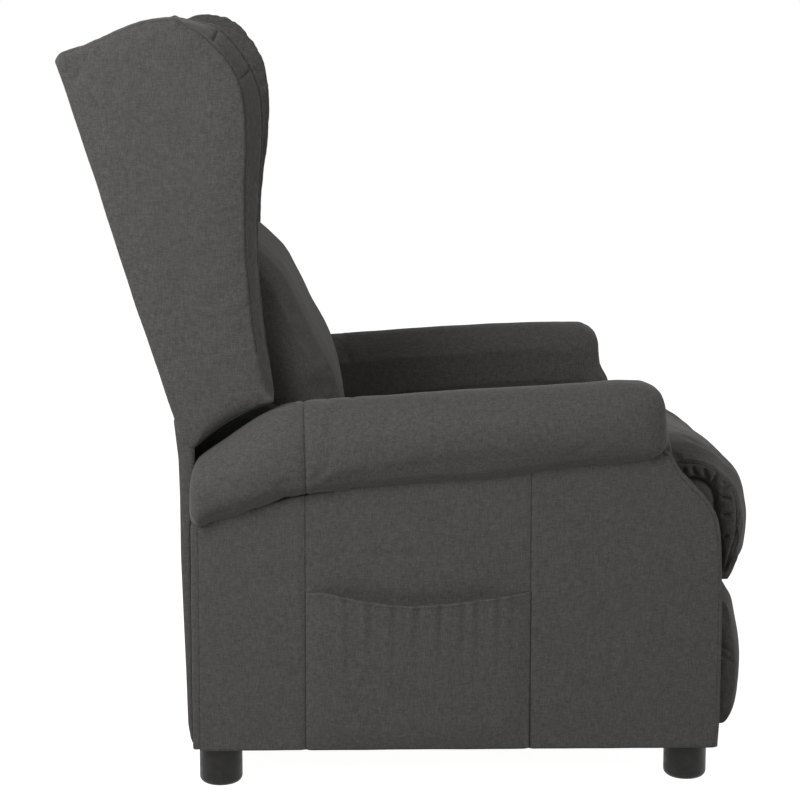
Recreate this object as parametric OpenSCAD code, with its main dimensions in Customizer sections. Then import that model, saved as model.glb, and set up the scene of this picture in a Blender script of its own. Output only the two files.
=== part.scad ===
// Wing-back recliner: the sitter pushes the back down and folds the footrest out.
// Millimetres. +Z is up, the sitter faces -Y, and the origin is on the floor under the middle.
// The left side of the model is -X, which is the sitter's right.

/* [Arms] */
// Clear width between the two arms
seat_space = 476; // [450:2:540]
// Thickness of an arm below its roll
arm_thick = 87; // [80:1:110]
// How far the arm roll stands out past the arm's outer face
roll_overhang = 25; // [12:1:35]
// Depth of an arm from its front face to its rear face
arm_depth = 689.5; // [680:0.5:710]
// Distance from the back's pivot to the arm's rear face
arm_behind = 154.5; // [150:0.5:160]
// Height of the arm roll over the arm panel, at mid length
roll_h = 109; // [95:1:120]
// Radius of the arm's rear scroll about the back's pivot
scroll_r = 209; // [203:0.5:211]
// How far the soft top of the scroll dips under its arc
scroll_dip = 12.8; // [0:0.2:14]
// How much the arm's top rises towards the front
arm_rise = 36; // [20:1:45]
// Thickness of the covered outer side of an arm
outer_skin = 7; // [5:0.5:12]
// Thickness of the covered inner side of an arm
inner_skin = 12; // [8:0.5:18]
// Width of the wooden rails and posts in an arm
rail_w = 40; // [30:1:50]
// Thickness of the padding on the arm's front
front_pad = 16; // [10:1:24]

/* [Feet] */
// Visible height of a foot, which is the height of the arm's lower edge
foot_h = 52; // [44:1:70]
// Diameter of a foot
foot_d = 57; // [45:1:62]
// Rounding of a foot's lower edge
foot_round = 8; // [4:1:12]
// Distance of a front foot's centre from the arm's front face
foot_in = 40; // [34:1:60]
// Distance of a rear foot's centre from the arm's rear face
foot_rear_in = 26; // [25:0.5:60]
// Diameter of a foot's threaded stud
stud_d = 10; // [8:1:12]
// Length of a foot's stud in the frame
stud_len = 24; // [16:1:32]

/* [Back] */
// Height of the back's pivot above the floor
pivot_z = 301; // [296:1:310]
// Distance of the back's pivot behind the middle
pivot_y = 133.5; // [130:0.5:138]
// Lean of the upright back from the vertical
back_tilt = 17.77; // [14:0.01:22]
// Length of the outer back from its lower edge to its top
back_len = 514.5; // [480:0.5:560]
// Distance of the outer back's lower edge behind the pivot
back_behind = 173; // [170:1:180]
// Height of the outer back's lower edge above the pivot
back_above = 163; // [158:1:172]
// Radius of the wing's lower edge about the back's pivot
wing_r = 221; // [217:0.5:226]
// Thickness of a wing
wing_thick = 55; // [45:1:62]
// Gap between the back's side and the arm, below the arm's top
back_side_gap = 14; // [12:1:20]
// Thickness of the outer back panel
back_panel = 8; // [5:0.5:12]
// Thickness of the back's wooden rails
back_rail = 20; // [15:0.5:24]
// Depth of the back's wooden posts
post_depth = 34; // [26:1:36]
// Width of the back's wooden posts
post_w = 30; // [24:1:36]

/* [Seat] */
// Gap between the seat cushion and each arm
cushion_gap = 3; // [2:0.5:6]
// Height of the seat cushion's top near its front
seat_h = 441; // [430:1:450]
// How far the seat's front stands out past the arms
seat_over = 62; // [50:1:75]
// Height of the seat frame's lower face
seat_frame_z = 284; // [282:1:286]
// Height of the seat frame's rails
seat_rail_h = 34; // [28:1:38]
// Thickness of the seat frame's rails
seat_rail_t = 25; // [20:1:30]
// Diameter of the seat's spring wire
wire_d = 3.8; // [3:0.1:5]
// Number of springs under the seat
springs = 5; // [3:1:6]
// Waves in one seat spring
waves = 9; // [6:1:12]
// Slope of the runners on which the seat slides forwards
slide_slope = 8.5; // [4:0.5:12]
// Length of a seat runner
runner_len = 220; // [210:1:230]

/* [Mechanism] */
// Thickness of the steel plates and links
steel = 4; // [3:0.25:4.5]
// Width of a link
link_w = 17; // [14:0.5:18]
// Diameter of a pivot pin
pin_d = 10; // [8:0.5:11]
// Radial clearance of a pivot that turns
pivot_clear = 0.05; // [0.02:0.01:0.1]
// Radial clearance of a pivot that closes a loop of links
loop_clear = 0.3; // [0.2:0.05:0.6]
// Diameter of the tube that joins the two rear links
tube_d = 20; // [16:1:24]
// Distance below the back's pivot of the pin that drives the seat
lever = 56; // [50:1:60]

/* [Footrest] */
// Height of the closed footrest's lower edge
footrest_low = 29; // [25:1:40]
// Height of the footrest pad
footrest_h = 219; // [205:1:224]
// Thickness of the footrest pad in the middle
footrest_pad_t = 62; // [45:1:70]
// Thickness of the footrest board
board_t = 12; // [9:0.5:18]

/* [Pocket] */
// Width of the side pocket
pocket_w = 277; // [240:1:300]
// Height of the side pocket at its ends
pocket_h = 215; // [180:1:230]
// Dip of the pocket's upper edge in the middle
pocket_dip = 19; // [0:1:30]
// How far the pocket stands off the arm
pocket_bulge = 7; // [6:0.5:12]

/* [Hidden] */

$fn = 64;
seat_gap = 0.3;
slim = 0.01;
fabric = [0.26, 0.26, 0.255];
fabric_inside = [0.2, 0.2, 0.195];
lining = [0.04, 0.04, 0.04];
timber = [0.72, 0.58, 0.4];
steel_black = [0.12, 0.12, 0.13];
steel_bright = [0.6, 0.6, 0.62];
plastic = [0.03, 0.03, 0.03];

// Places across the width, for the +X side
arm_in = seat_space / 2;
arm_out = arm_in + arm_thick;
roll_out = arm_out + roll_overhang;
frame_in = arm_in + inner_skin + seat_gap;
frame_out = arm_out - outer_skin - seat_gap;
arm_mid = (frame_in + frame_out) / 2;
cushion_half = arm_in - cushion_gap;

// Places along the depth
arm_rear = pivot_y + arm_behind;
arm_face = arm_rear - arm_depth;
seat_face = arm_face - seat_over;
pivot = [pivot_y, pivot_z];

// Layers of the mechanism, each one link thick with a millimetre between
layer_gap = 1;
plate_x = arm_in - 26;
layer1 = plate_x + steel + layer_gap;
layer2 = layer1 + steel + layer_gap;
pin_r = pin_d / 2;

// Pivots of the footrest linkage as [y, z]: two parallelograms one after the other
pin_a = [arm_face + 149, 285];
link_ab = [56, -187];
link_aa = [33, -11];
link_be = [0, -48];
link_bc = [-182, 91];
pin_aa = pin_a + link_aa;
pin_b = pin_a + link_ab;
pin_dd = pin_b + link_aa;
pin_e = pin_b + link_be;
pin_c = pin_b + link_bc;
pin_f = pin_c + link_be;
pin_q = pivot - [0, lever];
tube_at = pin_a + link_ab * 0.36;

// Directions along and out of the back's rear plane
back_up = [sin(back_tilt), cos(back_tilt)];
back_out = [-cos(back_tilt), sin(back_tilt)];
back_foot = pivot + [back_behind, back_above];
rails_at = back_panel + seat_gap;
posts_at = rails_at + back_rail + seat_gap;
web_at = posts_at + post_depth + seat_gap;
web_t = 2;
pad_at = web_at + web_t + seat_gap;
post_out = plate_x + 13.7;
lumbar_half = arm_in - back_side_gap;
wing_in = arm_in + 12;
wing_out = wing_in + wing_thick;
head_half = wing_in - seat_gap;

// A point of the back, from its height along the rear plane and its depth in front of it
function on_back(up, out) = back_foot + up * back_up + out * back_out;
function around_pivot(r, angle) = pivot + r * [cos(angle), sin(angle)];

// A smooth curve through key points
function spline(k, i, t) =
  let (a = k[max(i - 1, 0)], b = k[i], c = k[i + 1], d = k[min(i + 2, len(k) - 1)])
  0.5 * (2 * b + (c - a) * t + (2 * a - 5 * b + 4 * c - d) * t * t + (3 * b - a - 3 * c + d) * t * t * t);
function smooth(k, m) =
  concat([for (i = [0 : len(k) - 2]) for (j = [0 : m - 1]) spline(k, i, j / m)], [k[len(k) - 1]]);
function straight(a, b, n) = [for (i = [0 : n - 1]) a + (b - a) * i / (n - 1)];

// A curve pushed to its right-hand side
function beside(p, i) =
  let (t = p[min(i + 1, len(p) - 1)] - p[max(i - 1, 0)]) [t.y, -t.x] / max(norm(t), slim);
function pushed(p, d) = [for (i = [0 : len(p) - 1]) p[i] + beside(p, i) * d];
function backwards(p) = [for (i = [len(p) - 1 : -1 : 0]) p[i]];
// A closed ring between an outer curve, pushed outwards, and an inner one
function ring(outer, inner, push) = concat(pushed(outer, push), backwards(inner));
function across(rings, xs) = [for (i = [0 : len(xs) - 1]) [for (p = rings[i]) [xs[i], p.x, p.y]]];

// A soft solid through rings of points; its end caps are strips between the ring's two halves
module loft(rings) {
  n = len(rings[0]);
  m = len(rings);
  points = [for (r = rings) for (p = r) p];
  sides = [for (i = [0 : m - 2]) for (j = [0 : n - 1])
    let (a = i * n + j, b = i * n + (j + 1) % n, c = (i + 1) * n + (j + 1) % n, d = (i + 1) * n + j)
    each [[a, c, b], [a, d, c]]];
  first = [for (j = [0 : n / 2 - 2])
    each [[j, j + 1, n - 2 - j], [j, n - 2 - j, n - 1 - j]]];
  shift = (m - 1) * n;
  last = [for (f = first) [f[2] + shift, f[1] + shift, f[0] + shift]];
  polyhedron(points, concat(sides, first, last), convexity = 6);
}

// A flat shape drawn in [y, z], standing from x0 to x1
module slab(x0, x1) {
  translate([x0, 0, 0]) rotate([90, 0, 90]) linear_extrude(x1 - x0) children();
}

// A round bar along X through [y, z]
module rod(at, x0, x1, r) {
  translate([x0, at.x, at.y]) rotate([0, 90, 0]) cylinder(r = r, h = x1 - x0);
}

// A flat bar in [y, z] with round ends
module bar(a, b, w) {
  along = b - a;
  translate(a) circle(d = w);
  translate(b) circle(d = w);
  translate(a) rotate(atan2(along.y, along.x)) translate([0, -w / 2]) square([norm(along), w]);
}

module both_sides(side) {
  if (side > 0) children();
  else mirror([1, 0, 0]) children();
}

// Arm outline
scroll_y = pivot_y + 22;
roll_front = arm_face + 77;
rise_run = scroll_y - roll_front + 306;
function scroll_z(y) = pivot_z + sqrt(scroll_r * scroll_r - (y - pivot_y) * (y - pivot_y));
function roll_arc(y) =
  y > scroll_y ? scroll_z(y)
  : scroll_z(scroll_y) + arm_rise * (1 - (1 - (scroll_y - y) / rise_run) * (1 - (scroll_y - y) / rise_run));
dip_from = pivot_y + 42;
dip_to = arm_rear + 3.5;
function roll_top(y) =
  roll_arc(y) - scroll_dip * max(0, sin(180 * max(0, y - dip_from) / (dip_to - dip_from)));
function roll_low(y) = roll_arc(y) - roll_h - lookup(y, [
  [roll_front, -16], [roll_front + 35, -11], [-150, -1.3], [0, 0], [pivot_y - 30, 2.7], [pivot_y + 22, 8.3],
  [pivot_y + 48, 11.7], [pivot_y + 74, 10.9], [pivot_y + 100, 6.1], [pivot_y + 126, -3.4], [arm_rear, -21.8]]);
roll_places = [arm_rear + 8, arm_rear + 4, arm_rear, arm_rear - 22, arm_rear - 45, arm_rear - 68, scroll_y + 40,
  scroll_y + 18, scroll_y - 20, 0, roll_front + 75, roll_front + 30, roll_front + 13, roll_front + 4, roll_front];
shoulder = [[76, -4], [70, -16], [59, -32], [46, -46], [32, -59], [16, -83], [7, -104], [4, -124], [1, -198]];
arm_corner = [arm_face, roll_low(roll_front)];
arm_top_line = [for (y = roll_places) if (y <= arm_rear) [y, roll_low(y) - seat_gap]];
arm_front_line = concat([for (p = shoulder) arm_corner + p], [[arm_face, foot_h]]);

module arm_outline() {
  polygon(concat([[arm_rear, foot_h]], arm_top_line, arm_front_line));
}

module arm_window() {
  polygon(concat(
    [[arm_rear - rail_w, foot_h + rail_w]],
    [for (i = [0 : 8]) let (y = arm_rear - rail_w - (arm_depth - 2 * rail_w - front_pad - 40) * i / 8)
      [y, roll_low(y) - rail_w - seat_gap]],
    [[arm_face + front_pad + rail_w, arm_corner.y - 120], [arm_face + front_pad + rail_w, foot_h + rail_w]]
  ));
}

module arm_frame() {
  color(timber) difference() {
    slab(frame_in, frame_out) arm_outline();
    slab(frame_in - 1, frame_out + 1) arm_window();
    slab(frame_in - 1, frame_out + 1) arm_front_shape(seat_gap, 30);
    for (y = [arm_face + foot_in, arm_rear - foot_rear_in])
      translate([arm_mid, y, foot_h - 1]) cylinder(r = stud_d / 2 + pivot_clear, h = stud_len + 2);
  }
}

module arm_inner() {
  color(fabric_inside) slab(arm_in, arm_in + inner_skin) arm_outline();
}

module arm_outer() {
  color(fabric) slab(arm_out - outer_skin, arm_out) arm_outline();
}

// The padded strip over the arm's front, with its crown
module arm_front_shape(more, front) {
  line = smooth(arm_front_line, 2);
  polygon(concat(pushed(line, front), backwards(pushed(line, -front_pad - more))));
}

module arm_front() {
  color(fabric) intersection() {
    slab(frame_in, frame_out) arm_front_shape(0, 3);
    translate([frame_in - 1, arm_face - 50, foot_h]) cube([arm_thick, 200, arm_corner.y]);
  }
}

// Cross-section of the roll as shares of its width and height, from its outer lower edge over the top
roll_keys = [
  [0.8, 0], [0.94, 0.09], [1, 0.3], [1, 0.52], [0.95, 0.74], [0.83, 0.9],
  [0.65, 0.985], [0.44, 1], [0.22, 0.955], [0.07, 0.84], [0, 0.62], [0, 0.3], [0, 0.02]
];
roll_base = straight([0.78, 0], [0.02, 0], len(roll_keys));
roll_rounding = [12, 4, 0, 0, 0, 0, 0, 0, 0, 0, 0, 2, 9, 18, 32];
function roll_ring(y, inset) =
  let (w = roll_out - arm_in, low = roll_low(min(y, arm_rear)), high = roll_top(y),
    top = [for (k = smooth(roll_keys, 2)) [arm_in + k.x * w, low + k.y * (high - low)]],
    base = [for (k = smooth(roll_base, 2)) [arm_in + k.x * w, low + k.y * (high - low)]],
    drawn = pushed(top, -inset),
    ring = concat([for (p = drawn) [min(max(p.x, arm_in), roll_out), max(p.y, low)]], backwards(base)))
  [for (p = ring) [p.x, y, p.y]];

module arm_roll() {
  color(fabric) loft([for (i = [0 : len(roll_places) - 1]) roll_ring(roll_places[i], roll_rounding[i])]);
}

// The side pocket: a cloth standing off the arm, open along its upper edge
pocket_front = arm_face + 256;
pocket_low = foot_h + 2;
pocket_cloth = 1.6;
pocket_steps = 18;
pocket_rows = 6;
function pocket_edge(u) = pocket_low + pocket_h - pocket_dip * sin(180 * u);
function pocket_off(u, v) =
  let (e = min(u, 1 - u) * pocket_w / 22, b = v * pocket_h / 22,
    ease = min(1, e) * min(1, b), gather = 0.7 * sin(360 * 7 * u) * v * v * min(1, e))
  pocket_bulge * ease * (2 - ease) + gather;
function pocket_point(i, j, extra) =
  let (u = i / pocket_steps, v = j / pocket_rows)
  [-arm_out - seat_gap - pocket_off(u, v) - extra, pocket_front + u * pocket_w,
    pocket_low + v * (pocket_edge(u) - pocket_low)];

module side_pocket() {
  color(fabric) loft([for (i = [0 : pocket_steps])
    concat([for (j = [0 : pocket_rows]) pocket_point(i, j, pocket_cloth)],
      [for (j = [pocket_rows : -1 : 0]) pocket_point(i, j, 0)])]);
}

module foot(x, y) {
  r = foot_d / 2;
  color(plastic) translate([x, y, 0]) {
    rotate_extrude() {
      square([r - foot_round, foot_h]);
      translate([0, foot_round]) square([r, foot_h - foot_round]);
      intersection() {
        translate([r - foot_round, foot_round]) circle(foot_round);
        square([r, foot_round]);
      }
    }
    translate([0, 0, foot_h - 1]) cylinder(d = stud_d, h = stud_len + 1);
  }
}

// Cross members of the base
stretcher_h = 62;
stretcher_t = 22;
module stretcher(y) {
  color(timber) translate([-arm_in, y, foot_h + 4]) cube([2 * arm_in, stretcher_t, stretcher_h]);
}

// Seat runner: a channel on the arm, in which the seat's glides slide
glide_len = 30;
glide_h = 17.4;
runner_wall = 3;
runner_mid = [pivot_y - 201, seat_frame_z - 7];
runner_reach = 17;
module runner_place() {
  translate([0, runner_mid.x, runner_mid.y]) rotate([-slide_slope, 0, 0]) children();
}

module seat_runner() {
  slot = glide_h + 2 * seat_gap;
  color(steel_black) runner_place() difference() {
    translate([arm_in - runner_reach, -runner_len / 2, -slot / 2 - runner_wall])
      cube([runner_reach, runner_len, slot + 2 * runner_wall]);
    translate([arm_in - runner_reach - 1, -runner_len / 2 - 1, -slot / 2])
      cube([runner_reach + 1 - runner_wall - 1, runner_len + 2, slot]);
  }
}

// Hinge plate on the arm, with the pin on which the back turns
hinge_r = 7;
bracket_x = plate_x + 14;
bracket_t = 5;
module hinge_plate() {
  color(steel_black) {
    slab(arm_in - steel, arm_in) polygon([
      pivot + [-30, 34], pivot + [34, 34], pivot + [34, -20], pivot + [20, -38], pivot + [-30, -38]]);
    rod(pivot, bracket_x - layer_gap, arm_in - steel + slim, hinge_r);
    rod(pivot, bracket_x - 4, bracket_x - layer_gap + slim, hinge_r + 3);
  }
}

hinge_screw_at = [[-22, 25], [26, 25], [-22, -29]];
module hinge_screws() {
  color(steel_bright) for (side = [-1, 1]) both_sides(side)
    for (p = hinge_screw_at) rod(pivot + p, arm_in - steel - 2.3, arm_in - steel, 5);
}

// Rear flap: cloth that hangs from the back and is fixed under the base
flap_half = arm_out - 25;
flap_t = 2.5;
flap_keys = [[10, foot_h + 1], [17, foot_h + 30], [19.5, 150], [21, 230], [22.5, 310], [23, 390],
  [24.5, 440], [30.2, 490]];
flap_steps = 12;
function flap_ring(x) =
  let (fold = 1.1 * (1 - cos(360 * 3 * x / flap_half)),
    rear = [for (k = flap_keys) [arm_rear + k.x + fold * sin(180 * (k.y - foot_h) / 450), k.y]],
    front = pushed(rear, -flap_t))
  concat(backwards(front), rear);

module rear_flap() {
  xs = [for (i = [0 : flap_steps]) -flap_half + 2 * flap_half * i / flap_steps];
  color(fabric) loft(across([for (x = xs) flap_ring(x)], xs));
}

// Back posts, rails and webbing
module back_board(x0, x1, up0, up1, out0, out1) {
  slab(x0, x1) polygon([on_back(up0, out0), on_back(up1, out0), on_back(up1, out1), on_back(up0, out1)]);
}

post_low = -132;
module back_post() {
  color(timber) back_board(post_out - post_w, post_out, post_low, back_len - 8, posts_at, posts_at + post_depth);
}

rail_h = 50;
rail_ups = [10, 0.42 * back_len, back_len - 8 - rail_h];
module back_rails() {
  color(timber) for (up = rail_ups)
    back_board(-wing_in + seat_gap, wing_in - seat_gap, up, up + rail_h, rails_at, rails_at + back_rail);
}

web_h = 42;
web_count = 6;
web_first = -90;
module back_webbing() {
  pitch = (back_len - 50 - web_first) / web_count;
  color(lining) for (i = [0 : web_count - 1]) let (up = web_first + i * pitch)
    back_board(-post_out, post_out, up, up + web_h, web_at, web_at + web_t);
}

module outer_back() {
  color(fabric) back_board(-wing_in + seat_gap, wing_in - seat_gap, -8, back_len, 0, back_panel);
}

// Back bracket: hinges the back on the arm, and its slotted lever drives the seat
slot_run = 3;
slot_w = pin_d + 1.6;
module back_bracket() {
  grip_low = on_back(post_low + 24, posts_at + post_depth / 2);
  grip_high = on_back(-12, posts_at + post_depth / 2);
  color(steel_black) difference() {
    slab(bracket_x, bracket_x + bracket_t) {
      bar(pivot, pin_q, 30);
      bar(pivot, grip_low, 36);
      bar(grip_low, grip_high, post_depth);
      polygon([pivot, grip_low, grip_high, pivot + [6, 15]]);
    }
    rod(pivot, bracket_x - 1, bracket_x + bracket_t + 1, hinge_r + pivot_clear);
    slab(bracket_x - 1, bracket_x + bracket_t + 1)
      bar(pin_q + [0, slot_run], pin_q - [0, slot_run], slot_w);
  }
}

// Lumbar cushion: the swelling lower part of the back, with its tail behind the seat
lumbar_top = 0.52 * back_len;
lumbar_keys = [[lumbar_top, 72], [lumbar_top - 2, 98], [lumbar_top - 16, 132], [lumbar_top - 56, 167.7],
  [lumbar_top - 88, 187], [149, 199], [88, 208.6], [40, 212.5], [2, 212.8], [-53, 208.7],
  [-91, 194], [-112, 180], [-146, 164], [-176, 146]];
function lumbar_ring(x) =
  let (outer = smooth([for (k = lumbar_keys) on_back(k.x, k.y)], 2),
    inner = straight(on_back(lumbar_top - 4, pad_at), on_back(-150, pad_at), len(outer)),
    edge = max(0, (abs(x) - 130) / (lumbar_half - 130)))
  ring(outer, inner, -26 * edge * edge * edge);
lumbar_xs = [for (s = [-1, -0.94, -0.82, -0.6, 0, 0.6, 0.82, 0.94, 1]) s * lumbar_half];

module lumbar_cushion() {
  color(fabric) loft(across([for (x = lumbar_xs) lumbar_ring(x)], lumbar_xs));
}

// Head cushion between the wings, folded over the top of the frame
head_low = lumbar_top + 4;
head_outer = [[back_len + 8, 9.5], [back_len + 10, 38], [back_len + 8, 75], [back_len - 6, 105],
  [back_len - 31, 122], [back_len - 70, 124], [back_len - 117, 122], [back_len - 168, 118],
  [head_low + 34, 112], [head_low + 12, 104], [head_low, 90]];
head_inner = [[back_len - 6, 12], [back_len - 6, 35], [back_len - 6, 62], [back_len - 12, pad_at],
  [back_len - 45, pad_at], [back_len - 85, pad_at], [back_len - 135, pad_at], [back_len - 175, pad_at],
  [head_low + 40, pad_at], [head_low + 20, pad_at], [head_low, pad_at]];
function head_ring(x) =
  let (outer = smooth([for (k = head_outer) on_back(k.x, k.y)], 2),
    inner = smooth([for (k = head_inner) on_back(k.x, k.y)], 2),
    edge = max(0, (abs(x) - 150) / (head_half - 150)))
  ring(outer, inner, -8 * edge * edge);
head_xs = [for (s = [-1, -0.93, -0.8, 0, 0.8, 0.93, 1]) s * head_half];

module head_cushion() {
  color(fabric_inside) loft(across([for (x = head_xs) head_ring(x)], head_xs));
}

// Wing: a padded side piece whose front band slants from its inner edge to its outer seam
wing_top_len = back_len;
wing_inner_keys = [
  [wing_top_len, 0], [wing_top_len + 9, 10], [wing_top_len + 8, 38], [wing_top_len + 13, 85],
  [wing_top_len + 14, 125], [wing_top_len + 9, 155], [wing_top_len, 178], [wing_top_len - 16, 200],
  [wing_top_len - 40, 217], [wing_top_len - 84, 232], [wing_top_len - 128, 233],
  [wing_top_len - 189, 214], [wing_top_len - 280, 179], [wing_top_len - 375, 152], [wing_top_len - 460, 136]];
wing_seam_keys = [
  [wing_top_len, 0], [wing_top_len + 8, 10], [wing_top_len + 7, 36], [wing_top_len + 12, 82],
  [wing_top_len + 14, 115], [wing_top_len + 11, 138], [wing_top_len + 4, 160], [wing_top_len - 10, 176],
  [wing_top_len - 30, 196], [wing_top_len - 64, 210], [wing_top_len - 108, 215],
  [wing_top_len - 169, 200], [wing_top_len - 266, 167], [wing_top_len - 366, 141], [wing_top_len - 450, 126]];
wing_front_angle = 76;
wing_rear_angle = 43.3;
wing_count = 2 * len(wing_inner_keys) + 1;
wing_arc_count = 9;
wing_rear_line = concat(
  straight(on_back(wing_top_len - 6, 0), on_back(2, 0), wing_count - wing_arc_count),
  [for (i = [0 : wing_arc_count - 1])
    around_pivot(wing_r, wing_rear_angle + (wing_front_angle - wing_rear_angle) * i / (wing_arc_count - 1))]);
wing_xs = [0, 0.04, 0.12, 0.5, 0.91, 0.97, 1];
wing_draw = [4, 1.5, 0, 0, 0, 1.5, 5];
function wing_ring(share, draw) =
  let (t = min(1, max(0, (share - 0.09) / 0.82)),
    keys = [for (i = [0 : len(wing_inner_keys) - 1])
      let (k = wing_inner_keys[i] + (wing_seam_keys[i] - wing_inner_keys[i]) * t) on_back(k.x, k.y)],
    front = smooth(concat(keys, [around_pivot(wing_r, wing_front_angle) + [1 + 8 * t, 10]]), 2))
  ring(front, pushed(wing_rear_line, draw), -draw);

module wing() {
  xs = [for (s = wing_xs) wing_in + s * wing_thick];
  color(fabric) difference() {
    loft(across([for (i = [0 : len(wing_xs) - 1]) wing_ring(wing_xs[i], wing_draw[i])], xs));
    wing_board_shape(seat_gap);
  }
}

wing_board_t = 15;
module wing_board_shape(more) {
  slab(wing_in + 18 - more, wing_in + 18 + wing_board_t + more) polygon([
    on_back(40 - more, 22 - more), on_back(back_len - 40 + more, 22 - more),
    on_back(back_len - 50 + more, 150 + more), on_back(back_len - 120, 175 + more),
    on_back(110, 100 + more), on_back(60 - more, 92 + more)]);
}

module wing_board() {
  color(timber) wing_board_shape(0);
}

// Black lining stretched over the wing's curved lower edge
liner_t = 2;
module wing_liner() {
  angles = [for (i = [0 : 8]) wing_rear_angle + 1 + (wing_front_angle - wing_rear_angle - 2) * i / 8];
  color(lining) slab(wing_in + 3, wing_out - 3) polygon(concat(
    [for (a = angles) around_pivot(wing_r - seat_gap, a)],
    backwards([for (a = angles) around_pivot(wing_r - seat_gap - liner_t, a)])));
}

// Seat frame with its springs
seat_rear = pivot_y - 73.5;
frame_front = seat_face + 42;
frame_half = plate_x - seat_gap;
seat_deck = seat_frame_z + seat_rail_h;
module seat_frame() {
  color(timber) difference() {
    translate([-frame_half, frame_front, seat_frame_z])
      cube([2 * frame_half, seat_rear - frame_front, seat_rail_h]);
    translate([-frame_half + seat_rail_t, frame_front + seat_rail_t, seat_frame_z - 1])
      cube([2 * (frame_half - seat_rail_t), seat_rear - frame_front - 2 * seat_rail_t, seat_rail_h + 2]);
  }
}

spring_swing = 22;
function spring_line(side) =
  let (n = waves * 6, y0 = frame_front + 8, run = seat_rear - frame_front - 16)
  [for (i = [0 : n]) [spring_swing * sin(360 * waves * i / n) , y0 + run * i / n]
    + side * wire_d / 2 * [cos(65 * cos(360 * waves * i / n)), -sin(65 * cos(360 * waves * i / n))]];

module seat_springs() {
  pitch = 2 * (frame_half - seat_rail_t - spring_swing - 10) / (springs - 1);
  color(steel_bright) for (i = [0 : springs - 1])
    translate([(i - (springs - 1) / 2) * pitch, 0, seat_deck + seat_gap]) linear_extrude(wire_d)
      polygon(concat(spring_line(1), backwards(spring_line(-1))));
}

// Seat cushion with its crown, and the front that falls over the frame
cushion_low = seat_deck + wire_d + 2 * seat_gap;
cushion_rear = pivot_y - 36;
front_low = footrest_low + footrest_h + 6;
seat_outer = [
  [cushion_rear, cushion_low + 22], [cushion_rear, seat_h - 58], [cushion_rear - 9, seat_h - 31],
  [cushion_rear - 40, seat_h - 20], [cushion_rear - 150, seat_h - 12], [-200, seat_h - 3],
  [-320, seat_h + 1], [seat_face + 88, seat_h], [seat_face + 61, seat_h - 9], [seat_face + 36, seat_h - 29],
  [seat_face + 14, seat_h - 58], [seat_face + 3, seat_h - 88], [seat_face, seat_h - 116],
  [seat_face + 3, seat_h - 152], [seat_face + 11, front_low + 16], [seat_face + 26, front_low]];
seat_inner = [
  [cushion_rear - 2, cushion_low], [cushion_rear - 60, cushion_low], [cushion_rear - 110, cushion_low],
  [cushion_rear - 170, cushion_low], [-130, cushion_low], [-190, cushion_low], [-240, cushion_low],
  [-290, cushion_low], [-330, cushion_low], [frame_front + 50, cushion_low], [frame_front + 20, cushion_low],
  [frame_front - 4, cushion_low], [frame_front - 6, cushion_low - 16], [frame_front - 6, cushion_low - 36],
  [frame_front - 6, cushion_low - 52], [frame_front - 6, front_low + 4]];
function seat_ring(x) =
  let (edge = max(0, (abs(x) - 150) / (cushion_half - 150)),
    outer = smooth(seat_outer, 2), inner = smooth(seat_inner, 2))
  ring(outer, inner, -26 * edge * edge);
seat_xs = [for (s = [-1, -0.97, -0.9, -0.8, -0.64, 0, 0.64, 0.8, 0.9, 0.97, 1]) s * cushion_half];

module seat_cushion() {
  color(fabric) loft(across([for (x = seat_xs) seat_ring(x)], seat_xs));
}

// Steel plate on the seat frame's side, carrying the footrest linkage
plate_top = seat_frame_z + 20;
module seat_plate() {
  plate_front = pin_a.x - 18;
  plate_rear = pin_q.x + 17;
  color(steel_black) {
    slab(plate_x, plate_x + steel) polygon([
      [plate_front, plate_top], [seat_rear, plate_top], [plate_rear, plate_top - 22],
      [plate_rear, pin_q.y - 13], [pin_q.x - 20, pin_q.y - 13], [pin_q.x - 40, pin_q.y + 8],
      [pin_a.x + 5, pin_a.y - 28], [plate_front, pin_a.y - 14]]);
    for (p = [pin_a, pin_aa]) {
      rod(p, plate_x + steel - slim, layer1 + steel + 0.2, pin_r);
      rod(p, layer1 + steel + 0.2, layer1 + steel + 1.8, pin_r + 2);
    }
    rod(pin_q, plate_x + steel - slim, bracket_x + bracket_t + 1.5, pin_r);
  }
}

glide_at = [-62, 74];
module seat_glides() {
  color(plastic) for (side = [-1, 1]) both_sides(side) runner_place()
    for (y = glide_at) translate([plate_x + steel, y - glide_len / 2, -glide_h / 2])
      cube([arm_in - plate_x - steel - 5, glide_len, glide_h]);
}

// Links: each carries its own pins, and the link beside it has the bores
module link_pin(at) {
  rod(at, layer1 - 0.3, layer2 + slim, pin_r);
  rod(at, layer1 - 1.8, layer1 - 0.29, pin_r + 2);
}

module link_bore(at, clear) {
  rod(at, layer1 - 1, layer1 + steel + 1, pin_r + clear);
}

module rear_link() {
  color(steel_black) difference() {
    slab(layer1, layer1 + steel) {
      bar(pin_a, pin_b, link_w);
      bar(pin_b, pin_e, link_w);
      translate(tube_at) circle(d = tube_d + 2);
    }
    link_bore(pin_a, pivot_clear);
    link_bore(pin_b, pivot_clear);
    link_bore(pin_e, pivot_clear);
  }
}

tube_wall = 2;
module torque_tube() {
  color(steel_black) difference() {
    rod(tube_at, -layer1 + 0.02, layer1 - 0.02, tube_d / 2);
    rod(tube_at, -layer1 - 1, layer1 + 1, tube_d / 2 - tube_wall);
  }
}

module rear_stay() {
  color(steel_black) difference() {
    slab(layer1, layer1 + steel) bar(pin_aa, pin_dd, link_w);
    link_bore(pin_aa, pivot_clear);
    link_bore(pin_dd, loop_clear);
  }
}

module front_link() {
  color(steel_black) {
    slab(layer2, layer2 + steel) {
      bar(pin_dd, pin_b, link_w);
      bar(pin_b, pin_c, link_w);
    }
    for (p = [pin_b, pin_c, pin_dd]) link_pin(p);
  }
}

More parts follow.
